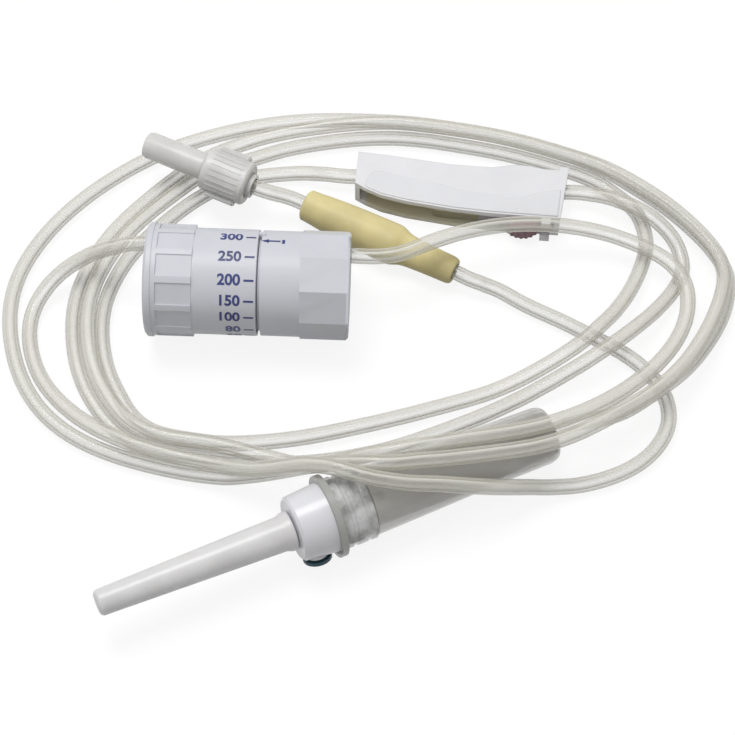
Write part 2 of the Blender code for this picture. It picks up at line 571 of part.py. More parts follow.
def build_dial(frame):
    bore = DIAL_BODY_RADIUS - DIAL_WALL
    profile = (
        (0.0, bore),
        (0.0, DIAL_RIM_RADIUS - EDGE_CHAMFER),
        (EDGE_CHAMFER, DIAL_RIM_RADIUS),
        (DIAL_RIM_WIDTH, DIAL_RIM_RADIUS),
        (DIAL_RIM_WIDTH, DIAL_GRIP_RADIUS),
        (DIAL_RIM_WIDTH + DIAL_GRIP_LENGTH, DIAL_GRIP_RADIUS),
        (DIAL_RIM_WIDTH + DIAL_GRIP_LENGTH, DIAL_BODY_RADIUS),
        (DIAL_LENGTH, DIAL_BODY_RADIUS),
        (DIAL_LENGTH, bore),
    )
    dial = turned("regulator_dial", profile, frame, plastic("dial_white", COOL_WHITE, 0.4), WIDE_STEPS)
    pocket_low = (DIAL_RIM_WIDTH + GRIP_RING_WIDTH, -GRIP_POCKET_WIDTH / 2, GRIP_POCKET_FLOOR)
    pocket_high = (DIAL_RIM_WIDTH + DIAL_GRIP_LENGTH + TOUCH_GAP, GRIP_POCKET_WIDTH / 2, 2 * DIAL_RIM_RADIUS)
    pockets = radial_copies("grip_pocket_form", pocket_low, pocket_high, GRIP_COUNT, frame)
    pockets.data.transform(Matrix.Rotation(GRIP_TURN, 4, "X"))
    combine(dial, pockets, "DIFFERENCE")
    return dial


def socket_form(name, offset, mouth, depth, frame):
    y, z = port_place(offset)
    form = turned(name, (
        (mouth - depth, 0.0),
        (mouth - depth, SOCKET_RADIUS),
        (mouth + TOUCH_GAP, SOCKET_RADIUS),
        (mouth + TOUCH_GAP, 0.0),
    ), frame, None, SMALL_STEPS)
    form.data.transform(Matrix.Translation((0.0, y, z)))
    return form


def build_core(frame):
    radius = core_radius()
    barrel_end = DIAL_LENGTH + TOUCH_GAP / 2
    stem_end = barrel_end + CORE_STEM_LENGTH
    groove = SEAL_SECTION + TOUCH_GAP
    profile = (
        (CORE_RECESS, 0.0),
        (CORE_RECESS, radius),
        (SEAL_GROOVE_PLACE - groove / 2, radius),
        (SEAL_GROOVE_PLACE - groove / 2, radius - groove),
        (SEAL_GROOVE_PLACE + groove / 2, radius - groove),
        (SEAL_GROOVE_PLACE + groove / 2, radius),
        (barrel_end, radius),
        (barrel_end, CORE_STEM_RADIUS),
        (stem_end, CORE_STEM_RADIUS),
        (stem_end, 0.0),
    )
    core = turned("regulator_core", profile, frame, plastic("core_white", MILK_WHITE, 0.5), WIDE_STEPS)
    socket = socket_form("inlet_socket_form", INLET_OFFSET, CORE_RECESS + SOCKET_DEPTH, 2 * SOCKET_DEPTH,
                         frame)
    combine(core, socket, "DIFFERENCE")
    way = turned("core_way_form", (
        (0.0, 0.0),
        (0.0, FLUID_WAY_RADIUS),
        (stem_end + TOUCH_GAP, FLUID_WAY_RADIUS),
        (stem_end + TOUCH_GAP, 0.0),
    ), frame, None, SMALL_STEPS)
    way_y, way_z = port_place(OUTLET_OFFSET)
    way.data.transform(Matrix.Translation((CORE_RECESS + SOCKET_DEPTH / 2, way_y, way_z)))
    combine(core, way, "DIFFERENCE")
    seal_middle = radius - groove / 2 + TOUCH_GAP / 4
    turned("regulator_seal", (
        (SEAL_GROOVE_PLACE - SEAL_SECTION / 2, seal_middle - SEAL_SECTION / 2),
        (SEAL_GROOVE_PLACE - SEAL_SECTION / 2, seal_middle + SEAL_SECTION / 2),
        (SEAL_GROOVE_PLACE + SEAL_SECTION / 2, seal_middle + SEAL_SECTION / 2),
        (SEAL_GROOVE_PLACE + SEAL_SECTION / 2, seal_middle - SEAL_SECTION / 2),
    ), frame, plastic("seal_grey", SEAL_GREY, 0.7))
    return core


def build_base(frame):
    start = DIAL_LENGTH + TOUCH_GAP
    collar_end = start + BASE_COLLAR_LENGTH
    end = start + BASE_LENGTH
    base = turned("regulator_base", (
        (start, 0.0),
        (start, BASE_RADIUS - BASE_GROOVE),
        (start + BASE_GROOVE / 2, BASE_RADIUS - BASE_GROOVE),
        (start + BASE_GROOVE / 2, BASE_RADIUS),
        (collar_end, BASE_RADIUS),
        (collar_end, 0.0),
    ), frame, plastic("base_white", COOL_WHITE, 0.35), WIDE_STEPS)
    corner = GRIP_END_HALF_WIDTH / math.cos(math.pi / GRIP_END_SIDES)
    facets = turned("grip_end_form", (
        (start + BASE_GROOVE, 0.0),
        (start + BASE_GROOVE, GRIP_END_ROOT),
        (collar_end - GRIP_END_LIP, GRIP_END_ROOT),
        (collar_end - GRIP_END_LIP, corner),
        (end - EDGE_CHAMFER, corner),
        (end, corner - EDGE_CHAMFER),
        (end, 0.0),
    ), frame, None, GRIP_END_SIDES)
    facets.data.transform(Matrix.Rotation(GRIP_END_TURN, 4, "X"))
    combine(base, facets, "UNION")
    stem_end = DIAL_LENGTH + TOUCH_GAP / 2 + CORE_STEM_LENGTH
    pocket_end = stem_end + GASKET_THICKNESS + 2 * TOUCH_GAP
    pocket = turned("stem_pocket_form", (
        (start - TOUCH_GAP, 0.0),
        (start - TOUCH_GAP, CORE_STEM_RADIUS + TOUCH_GAP),
        (pocket_end, CORE_STEM_RADIUS + TOUCH_GAP),
        (pocket_end, 0.0),
    ), frame, None, WIDE_STEPS)
    combine(base, pocket, "DIFFERENCE")
    socket = socket_form("outlet_socket_form", OUTLET_OFFSET, end, end - pocket_end + TOUCH_GAP, frame)
    combine(base, socket, "DIFFERENCE")
    gasket = turned("regulator_gasket", (
        (stem_end + TOUCH_GAP, 0.0),
        (stem_end + TOUCH_GAP, CORE_STEM_RADIUS),
        (stem_end + TOUCH_GAP + GASKET_THICKNESS, CORE_STEM_RADIUS),
        (stem_end + TOUCH_GAP + GASKET_THICKNESS, 0.0),
    ), frame, plastic("gasket_grey", SEAL_GREY, 0.8), NARROW_STEPS)
    hole = turned("gasket_hole_form", (
        (stem_end, 0.0),
        (stem_end, FLUID_WAY_RADIUS),
        (pocket_end, FLUID_WAY_RADIUS),
        (pocket_end, 0.0),
    ), frame, None, SMALL_STEPS)
    hole_y, hole_z = port_place(OUTLET_OFFSET)
    hole.data.transform(Matrix.Translation((0.0, hole_y, hole_z)))
    combine(gasket, hole, "DIFFERENCE")
    return base


def clamp_frame():
    return empty("clamp_axis", CLAMP_PLACE, Euler((0.0, 0.0, CLAMP_YAW)))


def clamp_outline():
    """Side outline of the clamp: front that deepens to the right, end flange, back with a thumb hump."""
    back = SOCKET_RADIUS + CLAMP_BACK_WALL
    half = CLAMP_LENGTH / 2
    front_points = [(half * along, -CLAMP_DEPTH * depth) for along, depth in CLAMP_FRONT_SHARES]
    back_points = [(half * along, back + CLAMP_HUMP * rise) for along, rise in CLAMP_BACK_SHARES]
    return (
        *front_points,
        (half - CLAMP_END_SLANT, -CLAMP_DEPTH),
        (half, back + CLAMP_FLANGE_REACH),
        (half - CLAMP_LUG_WIDTH, back + CLAMP_FLANGE_REACH),
        (half - CLAMP_LUG_WIDTH, back + CLAMP_HUMP / 2),
        *reversed(back_points),
    )


def clamp_channel_ends():
    """Ends of the clamp's channel along its length, inside its end walls."""
    half = CLAMP_LENGTH / 2
    return (-half + CLAMP_END_WALL, half - CLAMP_END_SLANT - CLAMP_END_WALL)


def wheel_centre_y(gap):
    return -TUBE_RADIUS - gap - WHEEL_RADIUS


def build_clamp_body(frame):
    half_thick = CLAMP_THICKNESS / 2
    half = CLAMP_LENGTH / 2
    body = prism("clamp_body", clamp_outline(), -half_thick, half_thick, frame,
                 plastic("clamp_white", MILK_WHITE, 0.3))
    lug_place = half - CLAMP_LUG_MARGIN
    lug = block("clamp_lug_form",
                (lug_place - CLAMP_LUG_WIDTH / 2, -CLAMP_DEPTH - CLAMP_LUG_REACH, -half_thick),
                (lug_place + CLAMP_LUG_WIDTH / 2, -CLAMP_DEPTH + CLAMP_LUG_REACH, half_thick), frame)
    combine(body, lug, "UNION")
    left, right = clamp_channel_ends()
    channel = block("clamp_channel_form",
                    (left, -2 * CLAMP_DEPTH, -half_thick + CLAMP_WALL),
                    (right, SOCKET_RADIUS, half_thick - CLAMP_WALL), frame)
    combine(body, channel, "DIFFERENCE")
    way = turned("clamp_way_form", (
        (-half - CLAMP_WALL, 0.0),
        (-half - CLAMP_WALL, SOCKET_RADIUS),
        (half + CLAMP_WALL, SOCKET_RADIUS),
        (half + CLAMP_WALL, 0.0),
    ), frame, None, SMALL_STEPS)
    combine(body, way, "DIFFERENCE")
    closed = (WHEEL_PLACE - WHEEL_TRAVEL, wheel_centre_y(WHEEL_CLOSED_GAP))
    opened = (WHEEL_PLACE, wheel_centre_y(WHEEL_OPEN_GAP))
    reach = half_thick - CLAMP_WALL + GROOVE_DEPTH
    groove = prism("clamp_groove_form", stadium(closed, opened, WHEEL_PIN_RADIUS + GROOVE_GAP), -reach, reach,
                   frame, None)
    combine(body, groove, "DIFFERENCE")
    return body


def build_clamp_tube(frame):
    left, right = clamp_channel_ends()
    turned("clamp_tube", (
        (left, TUBE_BORE_RADIUS),
        (left, TUBE_RADIUS),
        (right, TUBE_RADIUS),
        (right, TUBE_BORE_RADIUS),
    ), frame, plastic("clamp_tube_cream", TUBING_CREAM, 0.35), SMALL_STEPS)


def build_clamp_wheel(frame):
    holder = empty("wheel_axis", (WHEEL_PLACE, wheel_centre_y(WHEEL_OPEN_GAP), 0.0), None, frame)
    half = CLAMP_THICKNESS / 2 - CLAMP_WALL - WHEEL_SIDE_GAP
    outline = []
    for index in range(WHEEL_RIBS * 2):
        radius = WHEEL_RADIUS if index % 2 == 0 else WHEEL_RADIUS - WHEEL_RIB_DEPTH
        angle = math.pi * index / WHEEL_RIBS
        outline.append((radius * math.cos(angle), radius * math.sin(angle)))
    wheel = prism("clamp_wheel", outline, -half, half, holder, plastic("wheel_maroon", MAROON, 0.45))
    pin_reach = half + WHEEL_PIN_LENGTH
    pin = turned("wheel_pin_form", (
        (-pin_reach, 0.0),
        (-pin_reach, WHEEL_PIN_RADIUS),
        (pin_reach, WHEEL_PIN_RADIUS),
        (pin_reach, 0.0),
    ), holder, None, SMALL_STEPS, "Z")
    combine(wheel, pin, "UNION")
    return wheel


def build_bulb():
    frame = empty("bulb_axis", BULB_START, axis_rotation(BULB_START, BULB_END))
    length = (BULB_END - BULB_START).length
    socket = SOCKET_RADIUS
    sleeve_radius = SOCKET_RADIUS + SLEEVE_WALL + TOUCH_GAP
    neck_start = BULB_BARREL + BULB_SHOULDER
    profile = (
        (0.0, sleeve_radius),
        (0.0, BULB_END_RADIUS),
        (BULB_WALL, BULB_END_RADIUS + 2 * TOUCH_GAP),
        (BULB_SWELL_PLACE, BULB_RADIUS - TOUCH_GAP),
        (BULB_BARREL, BULB_RADIUS),
        (BULB_SHOULDER_PLACE, BULB_SHOULDER_RADIUS),
        (neck_start, BULB_NECK_RADIUS),
        (length - BULB_WALL, BULB_TIP_RADIUS),
        (length, BULB_TIP_RADIUS - TOUCH_GAP),
        (length, socket),
        (length - BULB_SOCKET, socket),
        (neck_start, BULB_NECK_RADIUS - BULB_WALL),
        (BULB_BARREL, BULB_RADIUS - BULB_WALL),
        (BULB_SWELL_PLACE, BULB_RADIUS - BULB_WALL - TOUCH_GAP),
        (SLEEVE_LENGTH + BULB_WALL, sleeve_radius),
    )
    turned("latex_bulb", profile, frame, plastic("latex_ochre", OCHRE, 0.6))
    turned("bulb_inlet_sleeve", (
        (0.0, SOCKET_RADIUS),
        (0.0, sleeve_radius - TOUCH_GAP),
        (SLEEVE_LENGTH, sleeve_radius - TOUCH_GAP),
        (SLEEVE_LENGTH, FLUID_WAY_RADIUS),
        (SLEEVE_LENGTH - BULB_WALL, FLUID_WAY_RADIUS),
        (SLEEVE_LENGTH - BULB_WALL, SOCKET_RADIUS),
    ), frame, plastic("sleeve_white", MILK_WHITE, 0.4), SMALL_STEPS)
    outlet_radius = BULB_NECK_RADIUS - BULB_WALL - TOUCH_GAP
    outlet_end = length - BULB_SOCKET - TOUCH_GAP
    turned("bulb_outlet_sleeve", (
        (outlet_end - OUTLET_SLEEVE_LENGTH, FLUID_WAY_RADIUS),
        (outlet_end - OUTLET_SLEEVE_LENGTH, outlet_radius - TOUCH_GAP),
        (outlet_end, outlet_radius - 2 * TOUCH_GAP),
        (outlet_end, FLUID_WAY_RADIUS),
    ), frame, plastic("outlet_sleeve_white", MILK_WHITE, 0.4), SMALL_STEPS)
    return frame


def connector_frame():
    return empty("connector_axis", CONNECTOR_START, axis_rotation(CONNECTOR_START, CONNECTOR_END))


def build_connector_body(frame):
    flange_end = CONNECTOR_SOCKET_LENGTH + CONNECTOR_FLANGE_WIDTH
    profile = (
        (-CONNECTOR_TAIL, SOCKET_RADIUS),
        (-CONNECTOR_TAIL, CONNECTOR_SOCKET_RADIUS),
        (CONNECTOR_SOCKET_LENGTH, CONNECTOR_SOCKET_RADIUS),
        (CONNECTOR_SOCKET_LENGTH, CONNECTOR_FLANGE_RADIUS),
        (flange_end, CONNECTOR_FLANGE_RADIUS),
        (flange_end, CONNECTOR_TAPER_BASE),
        (CONNECTOR_LENGTH, CONNECTOR_TAPER_TIP),
        (CONNECTOR_LENGTH, FLUID_WAY_RADIUS),
        (SOCKET_DEPTH, FLUID_WAY_RADIUS),
        (SOCKET_DEPTH, SOCKET_RADIUS),
    )
    return turned("connector_body", profile, frame, plastic("connector_frost", FROSTED, 0.4), NARROW_STEPS)


def build_lock_collar(frame):
    shoulder = CONNECTOR_SOCKET_LENGTH - RUNNING_GAP
    wide = CONNECTOR_FLANGE_RADIUS + RUNNING_GAP
    profile = (
        (0.0, CONNECTOR_SOCKET_RADIUS + RUNNING_GAP),
        (0.0, COLLAR_RADIUS - EDGE_CHAMFER),
        (EDGE_CHAMFER, COLLAR_RADIUS),
        (COLLAR_LENGTH - EDGE_CHAMFER, COLLAR_RADIUS),
        (COLLAR_LENGTH, COLLAR_RADIUS - EDGE_CHAMFER / 2),
        (COLLAR_LENGTH, wide),
        (shoulder, wide),
        (shoulder, CONNECTOR_SOCKET_RADIUS + RUNNING_GAP),
    )
    collar = turned("lock_collar", profile, frame, plastic("collar_frost", FROSTED, 0.4), NARROW_STEPS)
    wing_start = (COLLAR_LENGTH - COLLAR_WING_LENGTH) / 2
    wing_low = (wing_start, -COLLAR_WING_WIDTH / 2, COLLAR_WING_ROOT)
    wing_high = (wing_start + COLLAR_WING_LENGTH, COLLAR_WING_WIDTH / 2, COLLAR_WING_REACH)
    wings = radial_copies("collar_wing_form", wing_low, wing_high, 2, frame)
    wings.data.transform(Matrix.Rotation(COLLAR_WING_TURN, 4, "X"))
    combine(collar, wings, "UNION")
    return collar


def build_connector_cap(frame):
    total = (CONNECTOR_END - CONNECTOR_START).length
    bore = CONNECTOR_TAPER_BASE + RUNNING_GAP
    start = COLLAR_LENGTH + TOUCH_GAP
    profile = (
        (start, bore),
        (start, CONNECTOR_CAP_RADIUS),
        (total - 2 * EDGE_CHAMFER, CONNECTOR_CAP_RADIUS),
        (total, CONNECTOR_CAP_TIP_RADIUS),
        (total, 0.0),
        (total - CONNECTOR_CAP_END_WALL, 0.0),
        (total - CONNECTOR_CAP_END_WALL, bore),
    )
    return turned("connector_cap", profile, frame, plastic("cap_frost", FROSTED, 0.45), NARROW_STEPS)


def plan_slopes(gaps, rises):
    """Slopes at the route's points of a natural cubic curve, from its gaps and mean slopes."""
    count = len(gaps) + 1
    weights = np.zeros((count, count))
    sums = np.zeros((count, rises.shape[1]))
    weights[0, :2] = (2.0, 1.0)
    weights[-1, -2:] = (1.0, 2.0)
    sums[0] = 3.0 * rises[0]
    sums[-1] = 3.0 * rises[-1]
    for index in range(1, count - 1):
        before, after = gaps[index - 1], gaps[index]
        weights[index, index - 1:index + 2] = (after, 2.0 * (before + after), before)
        sums[index] = 3.0 * (after * rises[index - 1] + before * rises[index])
    return np.linalg.solve(weights, sums)


def height_slopes(rises):
    """Slopes of a height curve that never overshoots the route's points."""
    inner = []
    for before, after in zip(rises, rises[1:]):
        inner.append(2.0 * before * after / (before + after) if before * after > 0.0 else 0.0)
    return np.array([rises[0], *inner, rises[-1]])


def smooth_route(route):
    """Closely spaced points of one smooth curve through a route in millimetres."""
    points = np.array(route) * MM
    gaps = np.linalg.norm(np.diff(points, axis=0), axis=1)
    knots = np.concatenate([[0.0], np.cumsum(gaps)])
    rises = np.diff(points, axis=0) / gaps[:, None]
    slopes = np.column_stack([plan_slopes(gaps, rises[:, :2]), height_slopes(rises[:, 2])])
    path = []
    for place in np.linspace(0.0, knots[-1], int(round(knots[-1] / CORD_STEP)) + 1):
        index = int(np.clip(np.searchsorted(knots, place) - 1, 0, len(gaps) - 1))
        gap = gaps[index]
        share = (place - knots[index]) / gap
        rest = 1.0 - share
        path.append((1.0 + 2.0 * share) * rest ** 2 * points[index]
                    + share * rest ** 2 * gap * slopes[index]
                    + share ** 2 * (3.0 - 2.0 * share) * points[index + 1]
                    - share ** 2 * rest * gap * slopes[index + 1])
    return np.array(path)


def thin_path(path):
    """Few points of a path, whose chords stay within a small sag of it."""
    kept = [0]
    for index in range(2, len(path)):
        start = path[kept[-1]]
        run = path[index] - start
        length = np.linalg.norm(run)
        between = path[kept[-1] + 1:index] - start
        if len(between) == 0:
            continue
        off = between - np.outer(between @ run / length ** 2, run)
        if length > CORD_LONGEST_CHORD or np.linalg.norm(off, axis=1).max() > CORD_SAG:
            kept.append(index - 1)
    kept.append(len(path) - 1)
    return path[kept]


def build_tube(name, route):
    path = thin_path(smooth_route(route))
    curve = bpy.data.curves.new(name, "CURVE")
    curve.dimensions = "3D"
    curve.bevel_depth = TUBE_RADIUS
    curve.bevel_resolution = 2
    curve.use_fill_caps = True
    spline = curve.splines.new("POLY")
    spline.points.add(len(path) - 1)
    for point, place in zip(spline.points, path):
        point.co = (*place, 1.0)
    return add_object(curve, name, None, plastic(name + "_clear", TUBING_CREAM, 0.35))


def main():
    clear_scene()
    chamber = chamber_frame()
    build_spike_hub(chamber)
    build_vent(chamber)
    build_spike_cap(chamber)
    build_chamber_cap(chamber)
    build_drop_former(chamber)
    build_drip_chamber(chamber)
    build_chamber_outlet(chamber)
    regulator = regulator_frame()
    build_dial(regulator)
    build_core(regulator)
    build_base(regulator)
    clamp = clamp_frame()
    build_clamp_body(clamp)
    build_clamp_tube(clamp)
    build_clamp_wheel(clamp)
    build_bulb()
    connector = connector_frame()
    build_connector_body(connector)
    build_lock_collar(connector)
    build_connector_cap(connector)
    build_tube("tube_chamber_to_clamp", CHAMBER_TO_CLAMP_ROUTE)
    build_tube("tube_clamp_to_regulator", CLAMP_TO_REGULATOR_ROUTE)
    build_tube("tube_regulator_to_bulb", REGULATOR_TO_BULB_ROUTE)
    build_tube("tube_bulb_to_connector", BULB_TO_CONNECTOR_ROUTE)


main()
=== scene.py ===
"""Looks of the gravity infusion set on a pale floor: clear tubing with its bore, frosted and clear
mouldings, a latex bulb, a printed dial and the small moulded details.

Units are metres, +Z is up, and every place is in the frame of the solids.
"""

import math

import bmesh
import bpy
import numpy as np
from mathutils import Euler, Matrix, Vector, noise


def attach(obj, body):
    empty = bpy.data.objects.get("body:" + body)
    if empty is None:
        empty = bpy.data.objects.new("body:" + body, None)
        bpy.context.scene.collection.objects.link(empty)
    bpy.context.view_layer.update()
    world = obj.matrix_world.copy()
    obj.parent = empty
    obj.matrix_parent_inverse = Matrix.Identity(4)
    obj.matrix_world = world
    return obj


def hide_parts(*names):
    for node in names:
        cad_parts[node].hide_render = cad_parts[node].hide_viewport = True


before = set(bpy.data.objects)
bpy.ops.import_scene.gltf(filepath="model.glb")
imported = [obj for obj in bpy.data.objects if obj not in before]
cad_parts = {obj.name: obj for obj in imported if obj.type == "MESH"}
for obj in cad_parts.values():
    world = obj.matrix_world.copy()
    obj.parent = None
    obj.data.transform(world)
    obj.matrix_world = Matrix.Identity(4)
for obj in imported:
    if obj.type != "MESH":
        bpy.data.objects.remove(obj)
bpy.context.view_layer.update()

MM = 0.001

# Camera
CAMERA_TARGET = Vector((4.95, 5.1, 0.0)) * MM
CAMERA_DISTANCE = 504.0 * MM
CAMERA_ELEVATION = math.radians(60.0)
CAMERA_LENS = 100.0
CAMERA_SENSOR = 36.0

# Tubing
TUBE_RADIUS = 1.95 * MM
LUMEN_RADIUS = 1.15 * MM
TUBE_SIDES = 28
LUMEN_SIDES = 24
LUMEN_END_INSET = 0.1
PATH_STEP = 1.5 * MM
CHAMBER_TO_CLAMP_LENGTH = 991.0 * MM
CLAMP_TO_REGULATOR_LENGTH = 754.0 * MM
REGULATOR_TO_BULB_LENGTH = 321.0 * MM

# Route points of each free tube, in millimetres from the origin, in the order of the flow
CHAMBER_TO_CLAMP_ROUTE = (
    (43.9, -18.9, 7.3), (48.1, -17, 7.05), (54, -14.4, 6.7), (64.4, -11.8, 6.4), (73.1, -6.5, 6.4),
    (81, 0, 5.6), (88.6, 9.8, 3.5), (93.3, 18.5, 2.4), (95.4, 25.8, 2.1), (95.6, 30.5, 2.1),
    (94.1, 35.3, 2.1), (90.9, 40.8, 2.1), (86.5, 46.3, 2.1), (80.8, 52.2, 2.1), (74.7, 57.2, 2.1),
    (66.2, 63.5, 2.1), (55.3, 68.8, 2.1), (42.4, 73.2, 2.1), (28, 76.4, 2.1), (14.8, 78.4, 2.1),
    (1.6, 79.2, 2.1), (-12.9, 78.9, 2.1), (-26, 76.8, 2.1), (-39, 72.9, 2.1), (-48, 69, 2.1),
    (-57.4, 63.2, 2.1), (-66.2, 56, 2.1), (-73.9, 47.6, 2.1), (-79.6, 38.7, 2.1), (-83.3, 29, 2.1),
    (-84.2, 19, 2.1), (-82.5, 8.3, 2.1), (-78.7, -1.6, 2.1), (-72.4, -10.2, 2.1), (-63, -17.1, 2.1),
    (-51.9, -21.7, 2.1), (-41, -24.6, 2.1), (-30.1, -26.6, 2.8), (-22.8, -27.5, 5.4),
    (-15.6, -28.5, 9.6), (-8.4, -29.6, 14.5), (-0.2, -30.6, 18), (7.8, -31.8, 20.2), (15.9, -31.2, 20),
    (23.9, -29.9, 19), (35.6, -27.6, 17.6), (46.2, -25.1, 16.8), (54.7, -20.9, 14.8),
    (62.8, -15.4, 12.6), (71.2, -9.4, 11), (79, -2.5, 10.1), (85.4, 6.1, 8.7), (90.1, 15.1, 7),
    (93, 22.5, 6.3), (94.1, 29.1, 6.2), (92.8, 34.5, 6.2), (89.7, 39.9, 6.2), (85.4, 45.4, 6.2),
    (79.7, 51.2, 6.2), (73.9, 55.9, 6.2), (65.7, 61.3, 6.1), (53.6, 66.4, 5.9), (40.8, 70.7, 5.9),
    (26.5, 73.8, 5.9), (13.5, 75.7, 5.8), (0.4, 75.9, 5), (-11.4, 74.9, 4), (-21.7, 73.3, 2.8),
    (-30.5, 70.3, 2.1), (-38.2, 66.1, 2.1), (-45.8, 59.7, 2.1), (-53.1, 52.2, 2.1), (-59.8, 43.9, 2.1),
    (-64.8, 34.7, 2.1), (-67.9, 24.3, 2.1), (-68.2, 14.6, 2.1), (-66.8, 6, 2.1), (-64.3, -1.3, 2.1),
    (-60.7, -7.7, 2.1), (-56, -13.5, 2.1), (-48.7, -18.2, 2.1), (-40, -20.3, 2.1), (-31.6, -21.7, 2.1),
    (-20.8, -22.6, 2.1), (-10, -22.5, 2.1), (0.8, -21, 2.1), (12.8, -17.9, 2.1), (22.4, -14.2, 2.1),
    (32.2, -10, 2.1), (42.1, -5.1, 2.4), (48.9, -1.6, 3.6), (56.3, 2.3, 5.4), (63.2, 6.6, 6.7),
    (70.1, 12.5, 5.6), (76.5, 19.3, 3.5), (81.6, 25.9, 2.3), (84.3, 31.4, 2.1), (84.4, 36.1, 2.3),
    (83, 40.3, 3.1), (80.1, 43.8, 4.5), (76.3, 46.5, 6.1), (72.6, 48.7, 6.5), (68.7, 51.1, 5.9),
    (65.4, 53.1, 4.8), (62, 54.4, 3.9), (55.3, 55, 3.85),
)
CLAMP_TO_REGULATOR_ROUTE = (
    (3.2, 59.8, 3.85), (-3.6, 60.4, 3.75), (-9.5, 61.7, 2.7), (-17.8, 61.8, 2.1), (-26.1, 60.4, 2.1),
    (-34.6, 56.9, 2.1), (-41.1, 52.2, 2.1), (-48, 45.4, 2.1), (-54.1, 38.1, 2.1), (-58.2, 30.4, 2.1),
    (-60.7, 21.9, 2.1), (-61, 14.3, 2.1), (-60, 7.4, 2.1), (-58.2, 1.5, 2.1), (-55.6, -3.9, 2.1),
    (-52.7, -8.9, 2.1), (-47.6, -13.5, 2.1), (-39.5, -15.9, 2.1), (-31.5, -17.1, 2.1),
    (-20.9, -16.9, 2.1), (-11.3, -15.7, 2.1), (0.7, -13.1, 2.1), (12.8, -10, 2.1), (25, -6.4, 2.1),
    (33.6, -3.7, 2.3), (40.9, -0.8, 3.2), (48.3, 2.8, 4.8), (55, 6.7, 6.3), (60.9, 11.9, 6.45),
    (66.4, 18.5, 4.8), (71, 26, 3.2), (74.1, 33.1, 2.3), (75.8, 39.6, 2.1), (75.4, 45.4, 2.1),
    (73.5, 50.5, 2.1), (69.6, 54.7, 2.1), (65.2, 58.6, 2.1), (55.1, 63.5, 2.1), (42.2, 67.9, 2.1),
    (27.9, 71.2, 2.1), (14.8, 73.2, 2.1), (1.7, 73, 2.1), (-10.1, 71.2, 2.1), (-19.2, 68.8, 2.1),
    (-27.7, 65.3, 2.5), (-36.4, 61.5, 3.5), (-43.3, 55.8, 3.8), (-50.4, 48.7, 4.1), (-56.7, 40.8, 4.4),
    (-61.2, 32.4, 4.5), (-64, 23, 4.6), (-64.3, 14.4, 4.6), (-63.1, 6.7, 4.7), (-60.9, -0, 4.7),
    (-57.8, -5.9, 5.1), (-54, -11.2, 5.6), (-47.8, -15.8, 5.9), (-39.4, -18.1, 6.1), (-31.4, -19.5, 6.2),
    (-23.7, -21.8, 6.5), (-15.8, -24.4, 7), (-8.6, -26.6, 8.8), (-0.3, -27.4, 13.4), (7.4, -27.7, 17.4),
    (15.2, -26.9, 18.7), (24.1, -25.2, 18.5), (35.8, -22.7, 17.5), (47.6, -19.4, 16.4),
    (57.5, -14.1, 13.8), (65.7, -8.2, 11.5), (73.1, -1.3, 9.4), (78.6, 5.5, 7.9), (82.5, 12.6, 6.9),
    (84.3, 19.3, 6.4), (84.2, 24.8, 6.4), (82.1, 29.9, 6.4), (78.4, 33.7, 6.5), (73, 36.8, 6.8),
    (66.1, 39.3, 7.6), (58.4, 40.5, 8.9), (50.3, 40.6, 10.4), (41.1, 39.5, 12), (33, 37.4, 13.3),
    (25.4, 34.3, 14.7), (19.3, 31.3, 15.51), (13.7, 28.5, 15.93), (7.5, 27.3, 16.08), (0.8, 27.5, 16.14),
    (-5.5, 27.7, 16.22),
)
REGULATOR_TO_BULB_ROUTE = (
    (-42.3, 30, 17.05), (-48.5, 30.3, 17.11), (-53, 30.4, 17), (-57.5, 30.3, 15.7), (-62.3, 30.5, 13),
    (-66.6, 30.2, 10), (-70.6, 29.1, 7.2), (-74, 27, 4.9), (-76.7, 23.9, 3.2), (-78.5, 19.5, 2.3),
    (-78.9, 13.8, 2.1), (-77.8, 7.7, 2.1), (-75, 0.8, 2.3), (-70.3, -5.7, 2.9), (-63.8, -11.9, 4.1),
    (-56.1, -17, 5.6), (-48, -20.6, 6.3), (-39.5, -23.2, 6.5), (-30.4, -25.8, 7.4), (-23.1, -28.2, 10),
    (-15.8, -29.8, 14.2), (-8.3, -31.3, 18.6), (-0.2, -34.2, 21.2), (7.8, -36.3, 20.8),
    (15.1, -36.4, 19.1), (22, -35.8, 17.4), (29.1, -34.9, 14.6), (35.8, -33.3, 10.8), (42.7, -31.1, 6.4),
    (48.9, -29.5, 3.2), (55.5, -28.4, 2.1), (63.2, -26.2, 2.1), (70.1, -22.5, 2.1), (75.3, -17.1, 2.1),
    (77.9, -10.8, 2.1), (77.4, -4.4, 2.1), (74.2, 1.8, 2.1), (68.9, 7.2, 2.1), (61.3, 12.3, 2.1),
    (51.7, 18, 2.1), (43.1, 22.6, 2.4), (35.7, 26.6, 3.2), (32.2, 27.4, 4.4), (26.9, 30.1, 4.7),
    (20, 33.6, 5.06),
)
BULB_TO_CONNECTOR_ROUTE = (
    (-6, 46.7, 6.44), (-10.8, 49.2, 6.7), (-13.6, 50.4, 7.2), (-18, 50.9, 8.75), (-22.5, 51.5, 10.25),
    (-25.1, 52.5, 10.6), (-29.4, 54.3, 10.96),
)

# Facets round each turn, from wide forms to holes
WIDE_STEPS = 120
ROUND_STEPS = 96
NARROW_STEPS = 72
SMALL_STEPS = 64
HOLE_STEPS = 48

# Angles from which an edge is shaded sharp
TURNED_SHARP = math.radians(35.0)
CUT_SHARP = math.radians(30.0)
TUBE_SHARP = math.radians(60.0)

